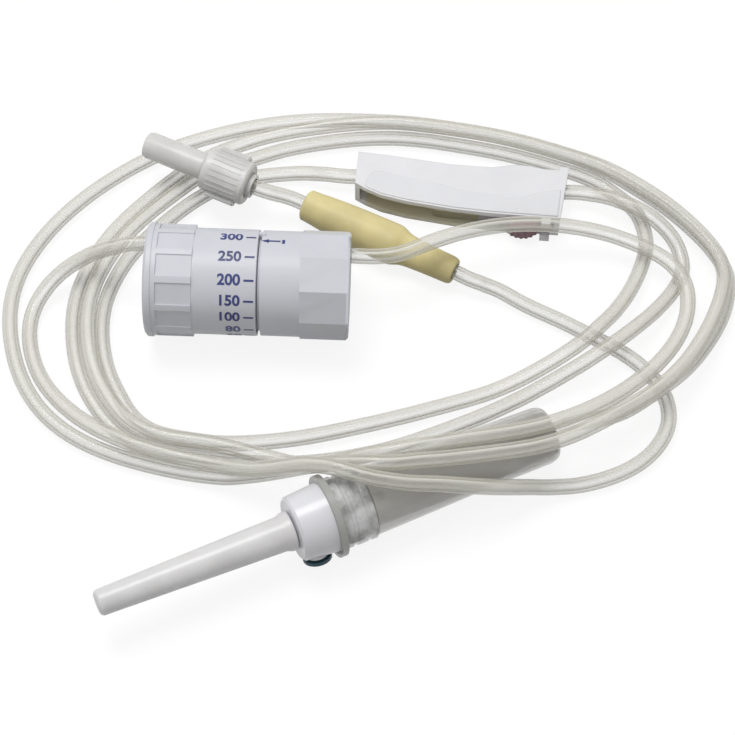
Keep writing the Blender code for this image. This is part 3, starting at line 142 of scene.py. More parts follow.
# Rounded corners, chamfers and cuts
ROUNDED_FROM = math.radians(25.0)
PANEL_ROUNDED_FROM = math.radians(60.0)
CORNER_SEGMENTS = 3
BLOCK_SEGMENTS = 2
CORNER_ROUNDING = 0.2 * MM
SOFT_ROUNDING = 0.25 * MM
CHAMFER = 0.6 * MM
SMALL_STEP = 0.3 * MM
CUT_OVERRUN = 1.0 * MM
DOUBLES = 1e-7

# Local frames of the assemblies
CHAMBER_PLACE = Vector((-3.28, -40.23, 10.31)) * MM
CHAMBER_TURN = Euler((0.0, math.radians(3.3), math.radians(24.3)))
REGULATOR_PLACE = Vector((-48.75, 22.0, 14.1)) * MM
REGULATOR_TURN = Euler((0.0, math.radians(0.65), math.radians(-1.93)))
CLAMP_PLACE = Vector((29.25, 57.4, 3.85)) * MM
CLAMP_TURN = Euler((0.0, 0.0, math.radians(-5.25)))
BULB_START = Vector((-10.85, 49.2, 6.7)) * MM
BULB_END = Vector((26.85, 30.1, 4.7)) * MM
CONNECTOR_START = Vector((-25.05, 52.5, 10.6)) * MM
CONNECTOR_END = Vector((-51.55, 63.8, 12.8)) * MM

# Spike, hub and vent
FLANGE_RADIUS = 10.0 * MM
FLANGE_THICKNESS = 1.5 * MM
FLANGE_TINT_CENTRE = Vector((1.5, 0.0, 0.0)) * MM
FLANGE_TINT_HALF = Vector((3.05, 1000.0, 1000.0)) * MM
HUB_RADIUS = 8.5 * MM
HUB_NOSE_RADIUS = 7.8 * MM
HUB_LENGTH = 8.4 * MM
SPIKE_RADIUS = 2.6 * MM
SPIKE_TIP_RADIUS = 1.4 * MM
SPIKE_POINT = 5.0 * MM
SPIKE_LENGTH = 40.0 * MM
SPIGOT_RADIUS = 5.0 * MM
SPIGOT_LENGTH = 3.6 * MM
WAY_RADIUS = 1.1 * MM
SPIKE_CAP_BASE = -10.2 * MM
SPIKE_CAP_LENGTH = 47.5 * MM
SPIKE_CAP_TIP_RADIUS = 3.1 * MM
SPIKE_CAP_BASE_RADIUS = 4.2 * MM
SPIKE_CAP_LIP_RADIUS = 4.7 * MM
SPIKE_CAP_LIP_WIDTH = 1.3 * MM
SPIKE_CAP_BORE = 2.9 * MM
SPIKE_CAP_END_WALL = 1.2 * MM
VENT_ANGLE = math.radians(150.0)
VENT_PLACE = -5.5 * MM
VENT_BOSS_RADIUS = 2.8 * MM
VENT_BORE_RADIUS = 2.0 * MM
VENT_SEAT = 8.8 * MM
VENT_BORE_DEPTH = 1.6 * MM
VENT_BOSS_DEPTH = 3.0 * MM

# Drip chamber: the cap's grooves are (along from its front, depth), the foot is (back from the end,
# drop below the waist), both in millimetres
CAP_FRONT = 0.3 * MM
CAP_LENGTH = 7.8 * MM
CAP_RADIUS = 8.7 * MM
CAP_WALL = 1.2 * MM
CAP_PLATE = 1.2 * MM
CAP_HOLE = 5.3 * MM
CAP_ROUNDING = 0.12 * MM
CAP_GROOVES = ((1.8, 0.0), (2.1, 0.35), (2.8, 0.35), (3.1, 0.0), (5.5, 0.0), (5.8, 0.3), (6.4, 0.3),
               (6.7, 0.0))
CAP_RIB_COUNT = 28
CAP_RIB_HALF_WIDTH = 0.25 * MM
CAP_RIB_START = 0.3 * MM
CAP_RIB_END = 3.5 * MM
CAP_RIB_DEPTH = 0.15 * MM
CAP_RIB_HEIGHT = 0.45 * MM
CAP_RIB_ROUNDING = 0.1 * MM
CHAMBER_SHOULDER = 8.4 * MM
CHAMBER_TOP_RADIUS = 8.2 * MM
CHAMBER_WAIST = 36.5 * MM
CHAMBER_WAIST_RADIUS = 7.3 * MM
CHAMBER_BELLY = 0.6
CHAMBER_BELLY_DROP = 0.4 * MM
CHAMBER_FOOT = ((2.0, 0.25), (0.7, 0.6))
CHAMBER_ROUNDING = 0.3 * MM
CHAMBER_END = 56.5 * MM
CHAMBER_END_RADIUS = 6.5 * MM
CHAMBER_WALL = 0.9 * MM
CHAMBER_SEAT_RADIUS = 7.2 * MM
CHAMBER_SEAT_START = 5.4 * MM
CHAMBER_BORE = 5.6 * MM
OUTLET_START = 48.1 * MM

# Regulator: dial, base, scale (text, degrees from the top) and index marks (along, around) in millimetres
DIAL_RADIUS = 13.0 * MM
DIAL_BORE = 12.0 * MM
DIAL_RIM_RADIUS = 14.0 * MM
DIAL_RIM_WIDTH = 1.8 * MM
DIAL_RING_END = 3.0 * MM
DIAL_GRIP_RADIUS = 13.7 * MM
DIAL_GRIP_END = 11.6 * MM
GRIP_COUNT = 12
GRIP_TURN = math.radians(17.0)
GRIP_POCKET_WIDTH = 5.4 * MM
GRIP_POCKET_FLOOR = 13.15 * MM
REGULATOR_ROUNDING = 0.18 * MM
DIAL_END = 27.1 * MM
BASE_START = 27.4 * MM
BASE_RADIUS = 12.9 * MM
BASE_GROOVE = 1.2 * MM
BASE_COLLAR_END = 37.9 * MM
BASE_END = 49.4 * MM
GRIP_END_HALF_WIDTH = 12.85 * MM
GRIP_END_SIDES = 10
GRIP_END_TURN = math.radians(4.0)
GRIP_END_START = 37.6 * MM
STEM_POCKET_RADIUS = 9.3 * MM
STEM_POCKET_END = 42.5 * MM
OUTLET_ANGLE = math.radians(-70.0)
OUTLET_OFFSET = 7.6 * MM
OUTLET_RADIUS = 2.25 * MM
SCALE = (("300", -24.0), ("250", 4.5), ("200", 30.5), ("150", 53.0), ("100", 73.0), ("80", 94.0),
         ("60", 115.0), ("40", 136.0), ("20", 157.0), ("10", 178.0), ("5", 199.0), ("0", 228.0))
NUMERAL_SIZE = 3.7 * MM
NUMERAL_WEIGHT = 0.11 * MM
NUMERAL_RIGHT = 23.4 * MM
TICK_START = 24.2 * MM
TICK_END = 26.6 * MM
TICK_WIDTH = 0.5 * MM
PRINT_LIFT = 0.02 * MM
PRINT_DEPTH = 0.03 * MM
PRINT_LONG_EDGE = 0.5 * MM
PRINT_CUTS = 3
INDEX_ANGLE = math.radians(-19.5)
INDEX_ARROW = ((27.9, 0.0), (29.7, -0.7), (29.7, -0.25), (32.5, -0.25), (32.5, 0.25), (29.7, 0.25),
               (29.7, 0.7))
INDEX_BAR = ((32.9, -0.9), (33.6, -0.9), (33.6, 0.6), (32.9, 0.6))
TAB_ANGLE = math.radians(-33.0)
TAB_START = 27.2 * MM
TAB_END = 28.8 * MM
TAB_HALF_WIDTH = 0.85 * MM
TAB_DEPTH = 0.3 * MM
TAB_HEIGHT = 0.45 * MM
TAB_ROUNDING = 0.15 * MM

# Clamp
CLAMP_TOP = 3.85 * MM
CLAMP_EDGE = 0.35 * MM
# Box round the clamp's channel and lower rail that gets painted shade, tinted yellow as painted light
# bounced from the bulb
CHANNEL_SHADE_CENTRE = Vector((-9.6, -4.575, -0.5)) * MM
CHANNEL_SHADE_HALF = Vector((14.6, 6.925, 3.25)) * MM
PANEL_FRONT = ((25.0, -10.4), (8.2, -10.4), (-1.6, -9.95), (-13.6, -8.65), (-20.1, -7.35), (-23.9, -5.8))
PANEL_HEIGHT = 0.3 * MM
PANEL_SINK = 0.1 * MM
PANEL_LINE = ((-24.6, -5.1), (-24.0, -2.6), (-21.7, -0.5), (-19.3, -0.9), (-8.4, -2.7), (0.0, -4.4),
              (6.7, -5.1), (13.8, -5.7), (19.9, -3.5), (25.4, -2.1))

# Latex bulb: its outline in millimetres as (along, radius), the foot counted back from the end
BULB_OUTLINE = ((0.0, 3.5), (0.5, 4.1), (2.2, 4.2), (6.375, 4.65), (12.75, 5.05), (20.4, 5.3), (25.0, 5.4),
                (26.2, 5.15), (27.9, 4.3), (29.5, 3.9))
BULB_FOOT = ((4.0, 3.6), (1.2, 3.55), (0.3, 3.3), (0.0, 3.0))
BULB_BARREL = 25.5 * MM
BULB_INNER = 3.15 * MM
BULB_SOCKET = 2.25 * MM
BULB_SOCKET_DEPTH = 7.5 * MM
BULB_BORE_TAPER = 4.0 * MM
BULB_UNEVEN = 0.22 * MM
BULB_UNEVEN_SCALE = 160.0
BULB_SKIN_FROM = 1.05

# End connector
COLLAR_RADIUS = 5.6 * MM
COLLAR_LENGTH = 12.0 * MM
COLLAR_INNER = 3.4 * MM
COLLAR_WIDE = 4.2 * MM
COLLAR_SHOULDER = 7.7 * MM
COLLAR_WING_REACH = 6.7 * MM
COLLAR_WING_WIDTH = 3.0 * MM
COLLAR_WING_LENGTH = 8.0 * MM
COLLAR_WING_ROUNDING = 0.3 * MM
COLLAR_WING_TURN = math.radians(60.0)
COLLAR_WING_ROOT = 5.0 * MM
COLLAR_RIB_COUNT = 24
COLLAR_RIB_HALF_LENGTH = 4.2 * MM
COLLAR_RIB_HALF_WIDTH = 0.18 * MM
COLLAR_RIB_HEIGHT = 0.15 * MM
COLLAR_RIB_ROUNDING = 0.06 * MM
END_CAP_START = 12.3 * MM
END_CAP_RADIUS = 3.5 * MM
END_CAP_TIP_RADIUS = 3.0 * MM
END_CAP_BORE = 2.45 * MM
END_CAP_WALL = 1.2 * MM

# Clear tubing: blend of the slant across its width, and cover at the middle and at the edge
WALL_BLEND = 0.76
FILM_COVER = (0.05, 0.68)
# The bore's cover carries its painted light: thin in the middle, dense at its edges
BORE_COVER = (0.12, 0.95)

# Colours
COOL_WHITE = (0.67, 0.68, 0.73)
HUB_WHITE = (0.81, 0.81, 0.84)
MILK_WHITE = (0.84, 0.84, 0.86)
TUBE_FILM = (0.72, 0.70, 0.61)
# Painted light: the bore is near white so the middle of each clear tube shows the bright band that light
# through it makes
BORE_PAINTED_LIGHT = (1.0, 0.985, 0.93)
FROST_GREY = (0.90, 0.885, 0.885)
CONNECTOR_GREY = (0.82, 0.81, 0.785)
CHAMBER_GREY = (0.56, 0.545, 0.50)
CLEAR_GREY = (0.72, 0.72, 0.70)
FLANGE_GREY = (0.42, 0.42, 0.40)
OCHRE = (0.74, 0.645, 0.32)
# Painted shade inside the clamp's channel, tinted yellow as painted light bounced from the latex bulb
CHANNEL_PAINTED_SHADE = (0.80, 0.76, 0.58)
MAROON = (0.20, 0.075, 0.10)
TEAL = (0.012, 0.062, 0.09)
NAVY = (0.05, 0.06, 0.20)
FILTER_WHITE = (0.85, 0.85, 0.82)
SEAL_GREY = (0.22, 0.23, 0.25)
FLOOR_WHITE = (0.95, 0.95, 0.95)
FLOOR_BOUNCE = (0.25, 0.25, 0.25)
GLOW_WHITE = (1.0, 1.0, 1.0)

# Moulded surfaces: colour drift, skin grain, spread of gloss, relief and scatter
DRIFT_SHARE = 12.0
DRIFT_DETAIL = 4.0
SKIN_DETAIL = 3.0
DRIFT_LOW = 0.35
DRIFT_HIGH = 0.65
GLOSS_SPREAD = 0.06
GLOSS_LEAST = 0.02
RELIEF_DEPTH = 0.05 * MM
EDGE_SAMPLES = 4
COAT_ROUGHNESS = 0.1
SCATTER_DEPTH = 1.5 * MM
SCATTER_TINT = (1.0, 0.9, 0.7)

# Floor and light
FLOOR_SIZE = 2.0
FLOOR_ROUGHNESS = 0.8
FLOOR_GLOSS = 0.1
FLOOR_GLOW = 1.05
FLOOR_GLOW_SHARE = 0.82
ROOM_LIGHT = 0.5
KEY_PLACE = Vector((-0.15, 0.22, 0.8))
KEY_SIZE = 0.36
KEY_POWER = 3.5


def local_frame(place, turn):
    return Matrix.Translation(place) @ turn.to_matrix().to_4x4()


def axis_frame(start, end):
    run = end - start
    yaw = math.atan2(run.y, run.x)
    pitch = -math.atan2(run.z, math.hypot(run.x, run.y))
    return local_frame(start, Euler((0.0, pitch, yaw)))


CHAMBER = local_frame(CHAMBER_PLACE, CHAMBER_TURN)
REGULATOR = local_frame(REGULATOR_PLACE, REGULATOR_TURN)
CLAMP = local_frame(CLAMP_PLACE, CLAMP_TURN)
BULB = axis_frame(BULB_START, BULB_END)
CONNECTOR = axis_frame(CONNECTOR_START, CONNECTOR_END)


def make_camera():
    data = bpy.data.cameras.new("photo_camera")
    data.lens = CAMERA_LENS
    data.sensor_width = CAMERA_SENSOR
    camera = bpy.data.objects.new("photo_camera", data)
    back = Vector((0.0, -math.cos(CAMERA_ELEVATION), math.sin(CAMERA_ELEVATION)))
    camera.location = CAMERA_TARGET + back * CAMERA_DISTANCE
    camera.rotation_euler = (math.pi / 2 - CAMERA_ELEVATION, 0.0, 0.0)
    bpy.context.scene.collection.objects.link(camera)
    bpy.context.scene.camera = camera


def plan_slopes(gaps, rises):
    """Slopes at the route's points of a natural cubic curve, from its gaps and mean slopes."""
    count = len(gaps) + 1
    weights = np.zeros((count, count))
    sums = np.zeros((count, rises.shape[1]))
    weights[0, :2] = (2.0, 1.0)
    weights[-1, -2:] = (1.0, 2.0)
    sums[0] = 3.0 * rises[0]
    sums[-1] = 3.0 * rises[-1]
    for index in range(1, count - 1):
        before, after = gaps[index - 1], gaps[index]
        weights[index, index - 1:index + 2] = (after, 2.0 * (before + after), before)
        sums[index] = 3.0 * (after * rises[index - 1] + before * rises[index])
    return np.linalg.solve(weights, sums)


def height_slopes(rises):
    """Slopes of a height curve that never overshoots the route's points."""
    inner = []
    for before, after in zip(rises, rises[1:]):
        inner.append(2.0 * before * after / (before + after) if before * after > 0.0 else 0.0)
    return np.array([rises[0], *inner, rises[-1]])


def smooth_route(route):
    """Closely spaced points of one smooth curve through a route in millimetres."""
    points = np.array(route) * MM
    gaps = np.linalg.norm(np.diff(points, axis=0), axis=1)
    knots = np.concatenate([[0.0], np.cumsum(gaps)])
    rises = np.diff(points, axis=0) / gaps[:, None]
    slopes = np.column_stack([plan_slopes(gaps, rises[:, :2]), height_slopes(rises[:, 2])])
    path = []
    for place in np.linspace(0.0, knots[-1], int(round(knots[-1] / PATH_STEP)) + 1):
        index = int(np.clip(np.searchsorted(knots, place) - 1, 0, len(gaps) - 1))
        gap = gaps[index]
        share = (place - knots[index]) / gap
        rest = 1.0 - share
        path.append((1.0 + 2.0 * share) * rest ** 2 * points[index]
                    + share * rest ** 2 * gap * slopes[index]
                    + share ** 2 * (3.0 - 2.0 * share) * points[index + 1]
                    - share ** 2 * rest * gap * slopes[index + 1])
    return [Vector(point) for point in path]


def add_mesh(bm, name, material, sharp_from=TURNED_SHARP):
    bmesh.ops.recalc_face_normals(bm, faces=bm.faces)
    mesh = bpy.data.meshes.new(name)
    bm.to_mesh(mesh)
    bm.free()
    mesh.shade_smooth()
    mesh.set_sharp_from_angle(angle=sharp_from)
    mesh.materials.append(material)
    piece = bpy.data.objects.new(name, mesh)
    bpy.context.scene.collection.objects.link(piece)
    return piece


def sweep(bm, path, radius, sides, material_index):
    """Closed tube along a path, with rings that don't twist."""
    normal = Vector((0.0, 0.0, 1.0))
    last = None
    first = None
    for index, point in enumerate(path):
        ahead = path[min(index + 1, len(path) - 1)]
        behind = path[max(index - 1, 0)]
        direction = (ahead - behind).normalized()
        normal = (normal - direction * normal.dot(direction)).normalized()
        across = direction.cross(normal)
        ring = []
        for step in range(sides):
            angle = 2.0 * math.pi * step / sides
            ring.append(bm.verts.new(point + (normal * math.cos(angle) + across * math.sin(angle)) * radius))
        if last is None:
            first = ring
        else:
            for step in range(sides):
                after = (step + 1) % sides
                face = bm.faces.new((last[step], last[after], ring[after], ring[step]))
                face.material_index = material_index
        last = ring
    for ring in (first, last):
        bm.faces.new(ring).material_index = material_index


def build_tube(name, route, film, lumen):
    path = smooth_route(route)
    bm = bmesh.new()
    sweep(bm, path, TUBE_RADIUS, TUBE_SIDES, 0)
    inset = [path[0].lerp(path[1], LUMEN_END_INSET), *path[1:-1], path[-1].lerp(path[-2], LUMEN_END_INSET)]
    sweep(bm, inset, LUMEN_RADIUS, LUMEN_SIDES, 1)
    piece = add_mesh(bm, name + "_line", film, TUBE_SHARP)
    piece.data.materials.append(lumen)
    dress(piece, "line", "tubing", name)
    return piece, path


def turned(name, profile, place, material, steps=ROUND_STEPS, rounding=CORNER_ROUNDING):
    """Solid of revolution about the local X axis with rounded corners; points are (along, radius)."""
    bm = bmesh.new()
    points = [bm.verts.new((along, 0.0, radius)) for along, radius in profile]
    edges = [bm.edges.new(pair) for pair in zip(points, points[1:])]
    if profile[0][1] > 0.0:
        edges.append(bm.edges.new((points[-1], points[0])))
    bmesh.ops.spin(bm, geom=points + edges, cent=(0.0, 0.0, 0.0), axis=(1.0, 0.0, 0.0),
                   angle=2.0 * math.pi, steps=steps, use_merge=True)
    bmesh.ops.remove_doubles(bm, verts=bm.verts, dist=DOUBLES)
    bmesh.ops.transform(bm, matrix=place, verts=bm.verts)
    piece = add_mesh(bm, name, material)
    if rounding > 0.0:
        bevel = piece.modifiers.new("rounded_corners", "BEVEL")
        bevel.width = rounding
        bevel.segments = CORNER_SEGMENTS
        bevel.limit_method = "ANGLE"
        bevel.angle_limit = ROUNDED_FROM
    return piece


def shaped(piece, tool, operation):
    """Join a tool with a piece or cut it out, and drop the tool."""
    change = piece.modifiers.new("form", "BOOLEAN")
    change.operation = operation
    change.solver = "EXACT"
    change.object = tool
    piece.modifiers.move(len(piece.modifiers) - 1, 0)
    bevels = [item for item in piece.modifiers if item.type == "BEVEL"]
    for item in bevels:
        item.show_viewport = False
    bpy.context.view_layer.update()
    mesh = bpy.data.meshes.new_from_object(piece.evaluated_get(bpy.context.evaluated_depsgraph_get()))
    piece.modifiers.remove(change)
    for item in bevels:
        item.show_viewport = True
    piece.data = mesh
    mesh.shade_smooth()
    mesh.set_sharp_from_angle(angle=CUT_SHARP)
    bpy.data.objects.remove(tool)
    return piece


def dress(piece, body, slot, *nodes):
    if nodes:
        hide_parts(*nodes)
    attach(piece, body)
    return piece


def ring_of_blocks(bm, place, count, low, high, first=0.0, bevel=0.0):
    """Boxes spread evenly round a local X axis, their edges rounded when a bevel is given."""
    size = Vector(high) - Vector(low)
    centre = (Vector(high) + Vector(low)) / 2
    for index in range(count):
        made = bmesh.ops.create_cube(bm, size=1.0)
        verts = made["verts"]
        turn = Matrix.Rotation(first + 2.0 * math.pi * index / count, 4, "X")
        spot = place @ turn @ Matrix.Translation(centre) @ Matrix.Diagonal((*size, 1.0))
        bmesh.ops.transform(bm, matrix=spot, verts=verts)
        if bevel > 0.0:
            sides = {edge for vert in verts for edge in vert.link_edges}
            bmesh.ops.bevel(bm, geom=list(sides), offset=bevel, segments=BLOCK_SEGMENTS, affect="EDGES")


def moulded(name, colour, roughness, variation=0.05, grain=1400.0, bump=0.06, alpha=1.0, coat=0.0,
            scatter=0.0, edge=0.18 * MM):
    """Moulded plastic: slight colour drift, fine skin grain, uneven gloss and softened edges."""
    material = bpy.data.materials.new(name)
    material.use_nodes = True
    tree = material.node_tree
    shader = tree.nodes["Principled BSDF"]
    place = tree.nodes.new("ShaderNodeTexCoord").outputs["Object"]
    drift = tree.nodes.new("ShaderNodeTexNoise")
    drift.inputs["Scale"].default_value = grain / DRIFT_SHARE
    drift.inputs["Detail"].default_value = DRIFT_DETAIL
    skin = tree.nodes.new("ShaderNodeTexNoise")
    skin.inputs["Scale"].default_value = grain
    skin.inputs["Detail"].default_value = SKIN_DETAIL
    tree.links.new(place, drift.inputs["Vector"])
    tree.links.new(place, skin.inputs["Vector"])
    ramp = tree.nodes.new("ShaderNodeValToRGB")
    ramp.color_ramp.elements[0].position = DRIFT_LOW
    ramp.color_ramp.elements[1].position = DRIFT_HIGH
    ramp.color_ramp.elements[0].color = (*[part * (1.0 - variation) for part in colour], 1.0)
    ramp.color_ramp.elements[1].color = (*[min(1.0, part * (1.0 + variation)) for part in colour], 1.0)
    tree.links.new(drift.outputs["Fac"], ramp.inputs["Fac"])
    tree.links.new(ramp.outputs["Color"], shader.inputs["Base Color"])
    gloss = tree.nodes.new("ShaderNodeMapRange")
    gloss.inputs["To Min"].default_value = max(GLOSS_LEAST, roughness - GLOSS_SPREAD)
    gloss.inputs["To Max"].default_value = roughness + GLOSS_SPREAD
    tree.links.new(drift.outputs["Fac"], gloss.inputs["Value"])
    tree.links.new(gloss.outputs["Result"], shader.inputs["Roughness"])
    relief = tree.nodes.new("ShaderNodeBump")
    relief.inputs["Strength"].default_value = bump
    relief.inputs["Distance"].default_value = RELIEF_DEPTH
    tree.links.new(skin.outputs["Fac"], relief.inputs["Height"])
    if edge > 0.0:
        soft = tree.nodes.new("ShaderNodeBevel")
        soft.samples = EDGE_SAMPLES
        soft.inputs["Radius"].default_value = edge
        tree.links.new(soft.outputs["Normal"], relief.inputs["Normal"])
    tree.links.new(relief.outputs["Normal"], shader.inputs["Normal"])
    shader.inputs["Alpha"].default_value = alpha
    shader.inputs["Coat Weight"].default_value = coat
    shader.inputs["Coat Roughness"].default_value = COAT_ROUGHNESS
    shader.inputs["Subsurface Weight"].default_value = scatter
    shader.inputs["Subsurface Scale"].default_value = SCATTER_DEPTH
    shader.inputs["Subsurface Radius"].default_value = SCATTER_TINT
    return material


def base_colour_link(material):
    tree = material.node_tree
    socket = tree.nodes["Principled BSDF"].inputs["Base Color"]
    return tree, socket, socket.links[0].from_socket


def tint_inside(material, colour, place, turn, centre, half):
    """Give a material another colour inside a box of a local frame."""
    tree, socket, painted = base_colour_link(material)
    spot = tree.nodes.new("ShaderNodeTexCoord").outputs["Object"]
    local = tree.nodes.new("ShaderNodeMapping")
    local.vector_type = "TEXTURE"
    local.inputs["Location"].default_value = place
    local.inputs["Rotation"].default_value = turn
    tree.links.new(spot, local.inputs["Vector"])
    split = tree.nodes.new("ShaderNodeSeparateXYZ")
    tree.links.new(local.outputs["Vector"], split.inputs["Vector"])
    inside = None
    for index, axis in enumerate("XYZ"):
        near = tree.nodes.new("ShaderNodeMath")
        near.operation = "COMPARE"
        near.inputs[1].default_value = centre[index]
        near.inputs[2].default_value = half[index]
        tree.links.new(split.outputs[axis], near.inputs[0])
        if inside is None:
            inside = near
            continue
        both = tree.nodes.new("ShaderNodeMath")
        both.operation = "MULTIPLY"
        tree.links.new(inside.outputs["Value"], both.inputs[0])
        tree.links.new(near.outputs["Value"], both.inputs[1])
        inside = both
    mix = tree.nodes.new("ShaderNodeMix")
    mix.data_type = "RGBA"
    mix.inputs["B"].default_value = (*colour, 1.0)
    tree.links.new(inside.outputs["Value"], mix.inputs["Factor"])
    tree.links.new(painted, mix.inputs["A"])
    tree.links.new(mix.outputs["Result"], socket)
    return material


def clear_edges(material, middle, edge):
    """Clear wall: more cover where it is seen at a slant and through more of the wall."""
    tree = material.node_tree
    slant = tree.nodes.new("ShaderNodeLayerWeight")
    slant.inputs["Blend"].default_value = WALL_BLEND
    cover = tree.nodes.new("ShaderNodeMapRange")
    cover.inputs["To Min"].default_value = middle
    cover.inputs["To Max"].default_value = edge
    tree.links.new(slant.outputs["Facing"], cover.inputs["Value"])
    tree.links.new(cover.outputs["Result"], tree.nodes["Principled BSDF"].inputs["Alpha"])


def paint(material, *nodes):
    for node in nodes:
        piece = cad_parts[node]
        if not piece.material_slots:
            piece.data.materials.append(material)
        for place in piece.material_slots:
            place.material = material


def on_drum(along, angle, radius):
    """Point on a drum about the regulator's axis; the angle runs from the top towards the viewer."""
    return REGULATOR @ Vector((along, -radius * math.sin(angle), radius * math.cos(angle)))


def wrapped(bm, name, radius, angle, lift, material, body):
    """Flat shape of (along, around) bent onto a drum, with a little thickness."""
    long_edges = [item for item in bm.edges if item.calc_length() > PRINT_LONG_EDGE]
    bmesh.ops.subdivide_edges(bm, edges=long_edges, cuts=PRINT_CUTS, use_grid_fill=True)
    grown = bmesh.ops.extrude_face_region(bm, geom=list(bm.faces))
    raised = {item for item in grown["geom"] if isinstance(item, bmesh.types.BMVert)}
    for vert in bm.verts:
        height = radius + lift + (PRINT_DEPTH if vert in raised else 0.0)
        vert.co = on_drum(vert.co.x, angle - vert.co.y / radius, height)
    dress(add_mesh(bm, name, material), body, "dial_white")


def flat_shape(outline):
    bm = bmesh.new()
    bm.faces.new([bm.verts.new((x, y, 0.0)) for x, y in outline])
    return bm


def build_numeral(text, angle, ink):
    curve = bpy.data.curves.new("numeral_form", "FONT")
    curve.body = text
    curve.size = NUMERAL_SIZE
    curve.offset = NUMERAL_WEIGHT
    curve.align_x = "RIGHT"
    curve.align_y = "CENTER"
    form = bpy.data.objects.new("numeral_form", curve)
    bpy.context.scene.collection.objects.link(form)
    bpy.context.view_layer.update()
    mesh = bpy.data.meshes.new_from_object(form.evaluated_get(bpy.context.evaluated_depsgraph_get()))
    bpy.data.objects.remove(form)
    bm = bmesh.new()
    bm.from_mesh(mesh)
    bmesh.ops.remove_doubles(bm, verts=bm.verts, dist=DOUBLES)
    bmesh.ops.translate(bm, verts=bm.verts, vec=(NUMERAL_RIGHT, 0.0, 0.0))
    wrapped(bm, "numeral_" + text, DIAL_RADIUS, angle, PRINT_LIFT, ink, "dial")


def build_scale(ink):
    half = TICK_WIDTH / 2
    for text, degrees in SCALE:
        angle = math.radians(degrees)
        build_numeral(text, angle, ink)
        tick = flat_shape(((TICK_START, -half), (TICK_END, -half), (TICK_END, half), (TICK_START, half)))
        wrapped(tick, "tick_" + text, DIAL_RADIUS, angle, PRINT_LIFT, ink, "dial")


def build_index(ink, white):
    for name, outline in (("index_arrow", INDEX_ARROW), ("index_bar", INDEX_BAR)):
        form = flat_shape([(along * MM, around * MM) for along, around in outline])
        wrapped(form, name, BASE_RADIUS, INDEX_ANGLE, PRINT_LIFT, ink, "line")
    bm = bmesh.new()
    ring_of_blocks(bm, REGULATOR, 1, (TAB_START, -TAB_HALF_WIDTH, BASE_RADIUS - TAB_DEPTH),
                   (TAB_END, TAB_HALF_WIDTH, BASE_RADIUS + TAB_HEIGHT), TAB_ANGLE, TAB_ROUNDING)
    dress(add_mesh(bm, "index_tab", white), "line", "dial_white")


def build_dial_shell(white):
    dial = turned("dial_shell", (
        (0.0, DIAL_BORE),
        (0.0, DIAL_RIM_RADIUS - CHAMFER),
        (CHAMFER, DIAL_RIM_RADIUS),
        (DIAL_RIM_WIDTH, DIAL_RIM_RADIUS),
        (DIAL_RIM_WIDTH, DIAL_GRIP_RADIUS),
        (DIAL_GRIP_END, DIAL_GRIP_RADIUS),
        (DIAL_GRIP_END, DIAL_RADIUS),
        (DIAL_END, DIAL_RADIUS),
        (DIAL_END, DIAL_BORE),
    ), REGULATOR, white, steps=WIDE_STEPS, rounding=REGULATOR_ROUNDING)
    bm = bmesh.new()
    low = (DIAL_RING_END, -GRIP_POCKET_WIDTH / 2, GRIP_POCKET_FLOOR)
    high = (DIAL_GRIP_END + CUT_OVERRUN, GRIP_POCKET_WIDTH / 2, DIAL_RIM_RADIUS + CUT_OVERRUN)
    ring_of_blocks(bm, REGULATOR, GRIP_COUNT, low, high, GRIP_TURN)
    shaped(dial, add_mesh(bm, "pocket_form", white), "DIFFERENCE")
    dress(dial, "dial", "dial_white", "regulator_dial")


def build_base_shell(white):
    base = turned("base_shell", (
        (BASE_START, 0.0),
        (BASE_START, BASE_RADIUS - BASE_GROOVE),
        (BASE_START + BASE_GROOVE / 2, BASE_RADIUS - BASE_GROOVE),
        (BASE_START + BASE_GROOVE / 2, BASE_RADIUS),
        (BASE_COLLAR_END, BASE_RADIUS),
        (BASE_COLLAR_END, 0.0),
    ), REGULATOR, white, steps=WIDE_STEPS, rounding=REGULATOR_ROUNDING)
    corner = GRIP_END_HALF_WIDTH / math.cos(math.pi / GRIP_END_SIDES)
    facets = turned("facet_form", (
        (BASE_START + BASE_GROOVE, 0.0),
        (BASE_START + BASE_GROOVE, STEM_POCKET_RADIUS),
        (GRIP_END_START, STEM_POCKET_RADIUS),
        (GRIP_END_START, corner),
        (BASE_END - CHAMFER, corner),
        (BASE_END, corner - CHAMFER),
        (BASE_END, 0.0),
    ), REGULATOR @ Matrix.Rotation(GRIP_END_TURN, 4, "X"), white, steps=GRIP_END_SIDES, rounding=0.0)
    shaped(base, facets, "UNION")
    shaped(base, turned("stem_form", (
        (BASE_START - SMALL_STEP, 0.0),
        (BASE_START - SMALL_STEP, STEM_POCKET_RADIUS),
        (STEM_POCKET_END, STEM_POCKET_RADIUS),
        (STEM_POCKET_END, 0.0),
    ), REGULATOR, white, steps=SMALL_STEPS, rounding=0.0), "DIFFERENCE")
    across = -OUTLET_OFFSET * math.sin(OUTLET_ANGLE)
    out = Matrix.Translation((0.0, across, OUTLET_OFFSET * math.cos(OUTLET_ANGLE)))
    shaped(base, turned("outlet_form", (
        (STEM_POCKET_END - CUT_OVERRUN, 0.0),
        (STEM_POCKET_END - CUT_OVERRUN, OUTLET_RADIUS),
        (BASE_END + CUT_OVERRUN, OUTLET_RADIUS),
        (BASE_END + CUT_OVERRUN, 0.0),
    ), REGULATOR @ out, white, steps=HOLE_STEPS, rounding=0.0), "DIFFERENCE")
    dress(base, "line", "dial_white", "regulator_base")


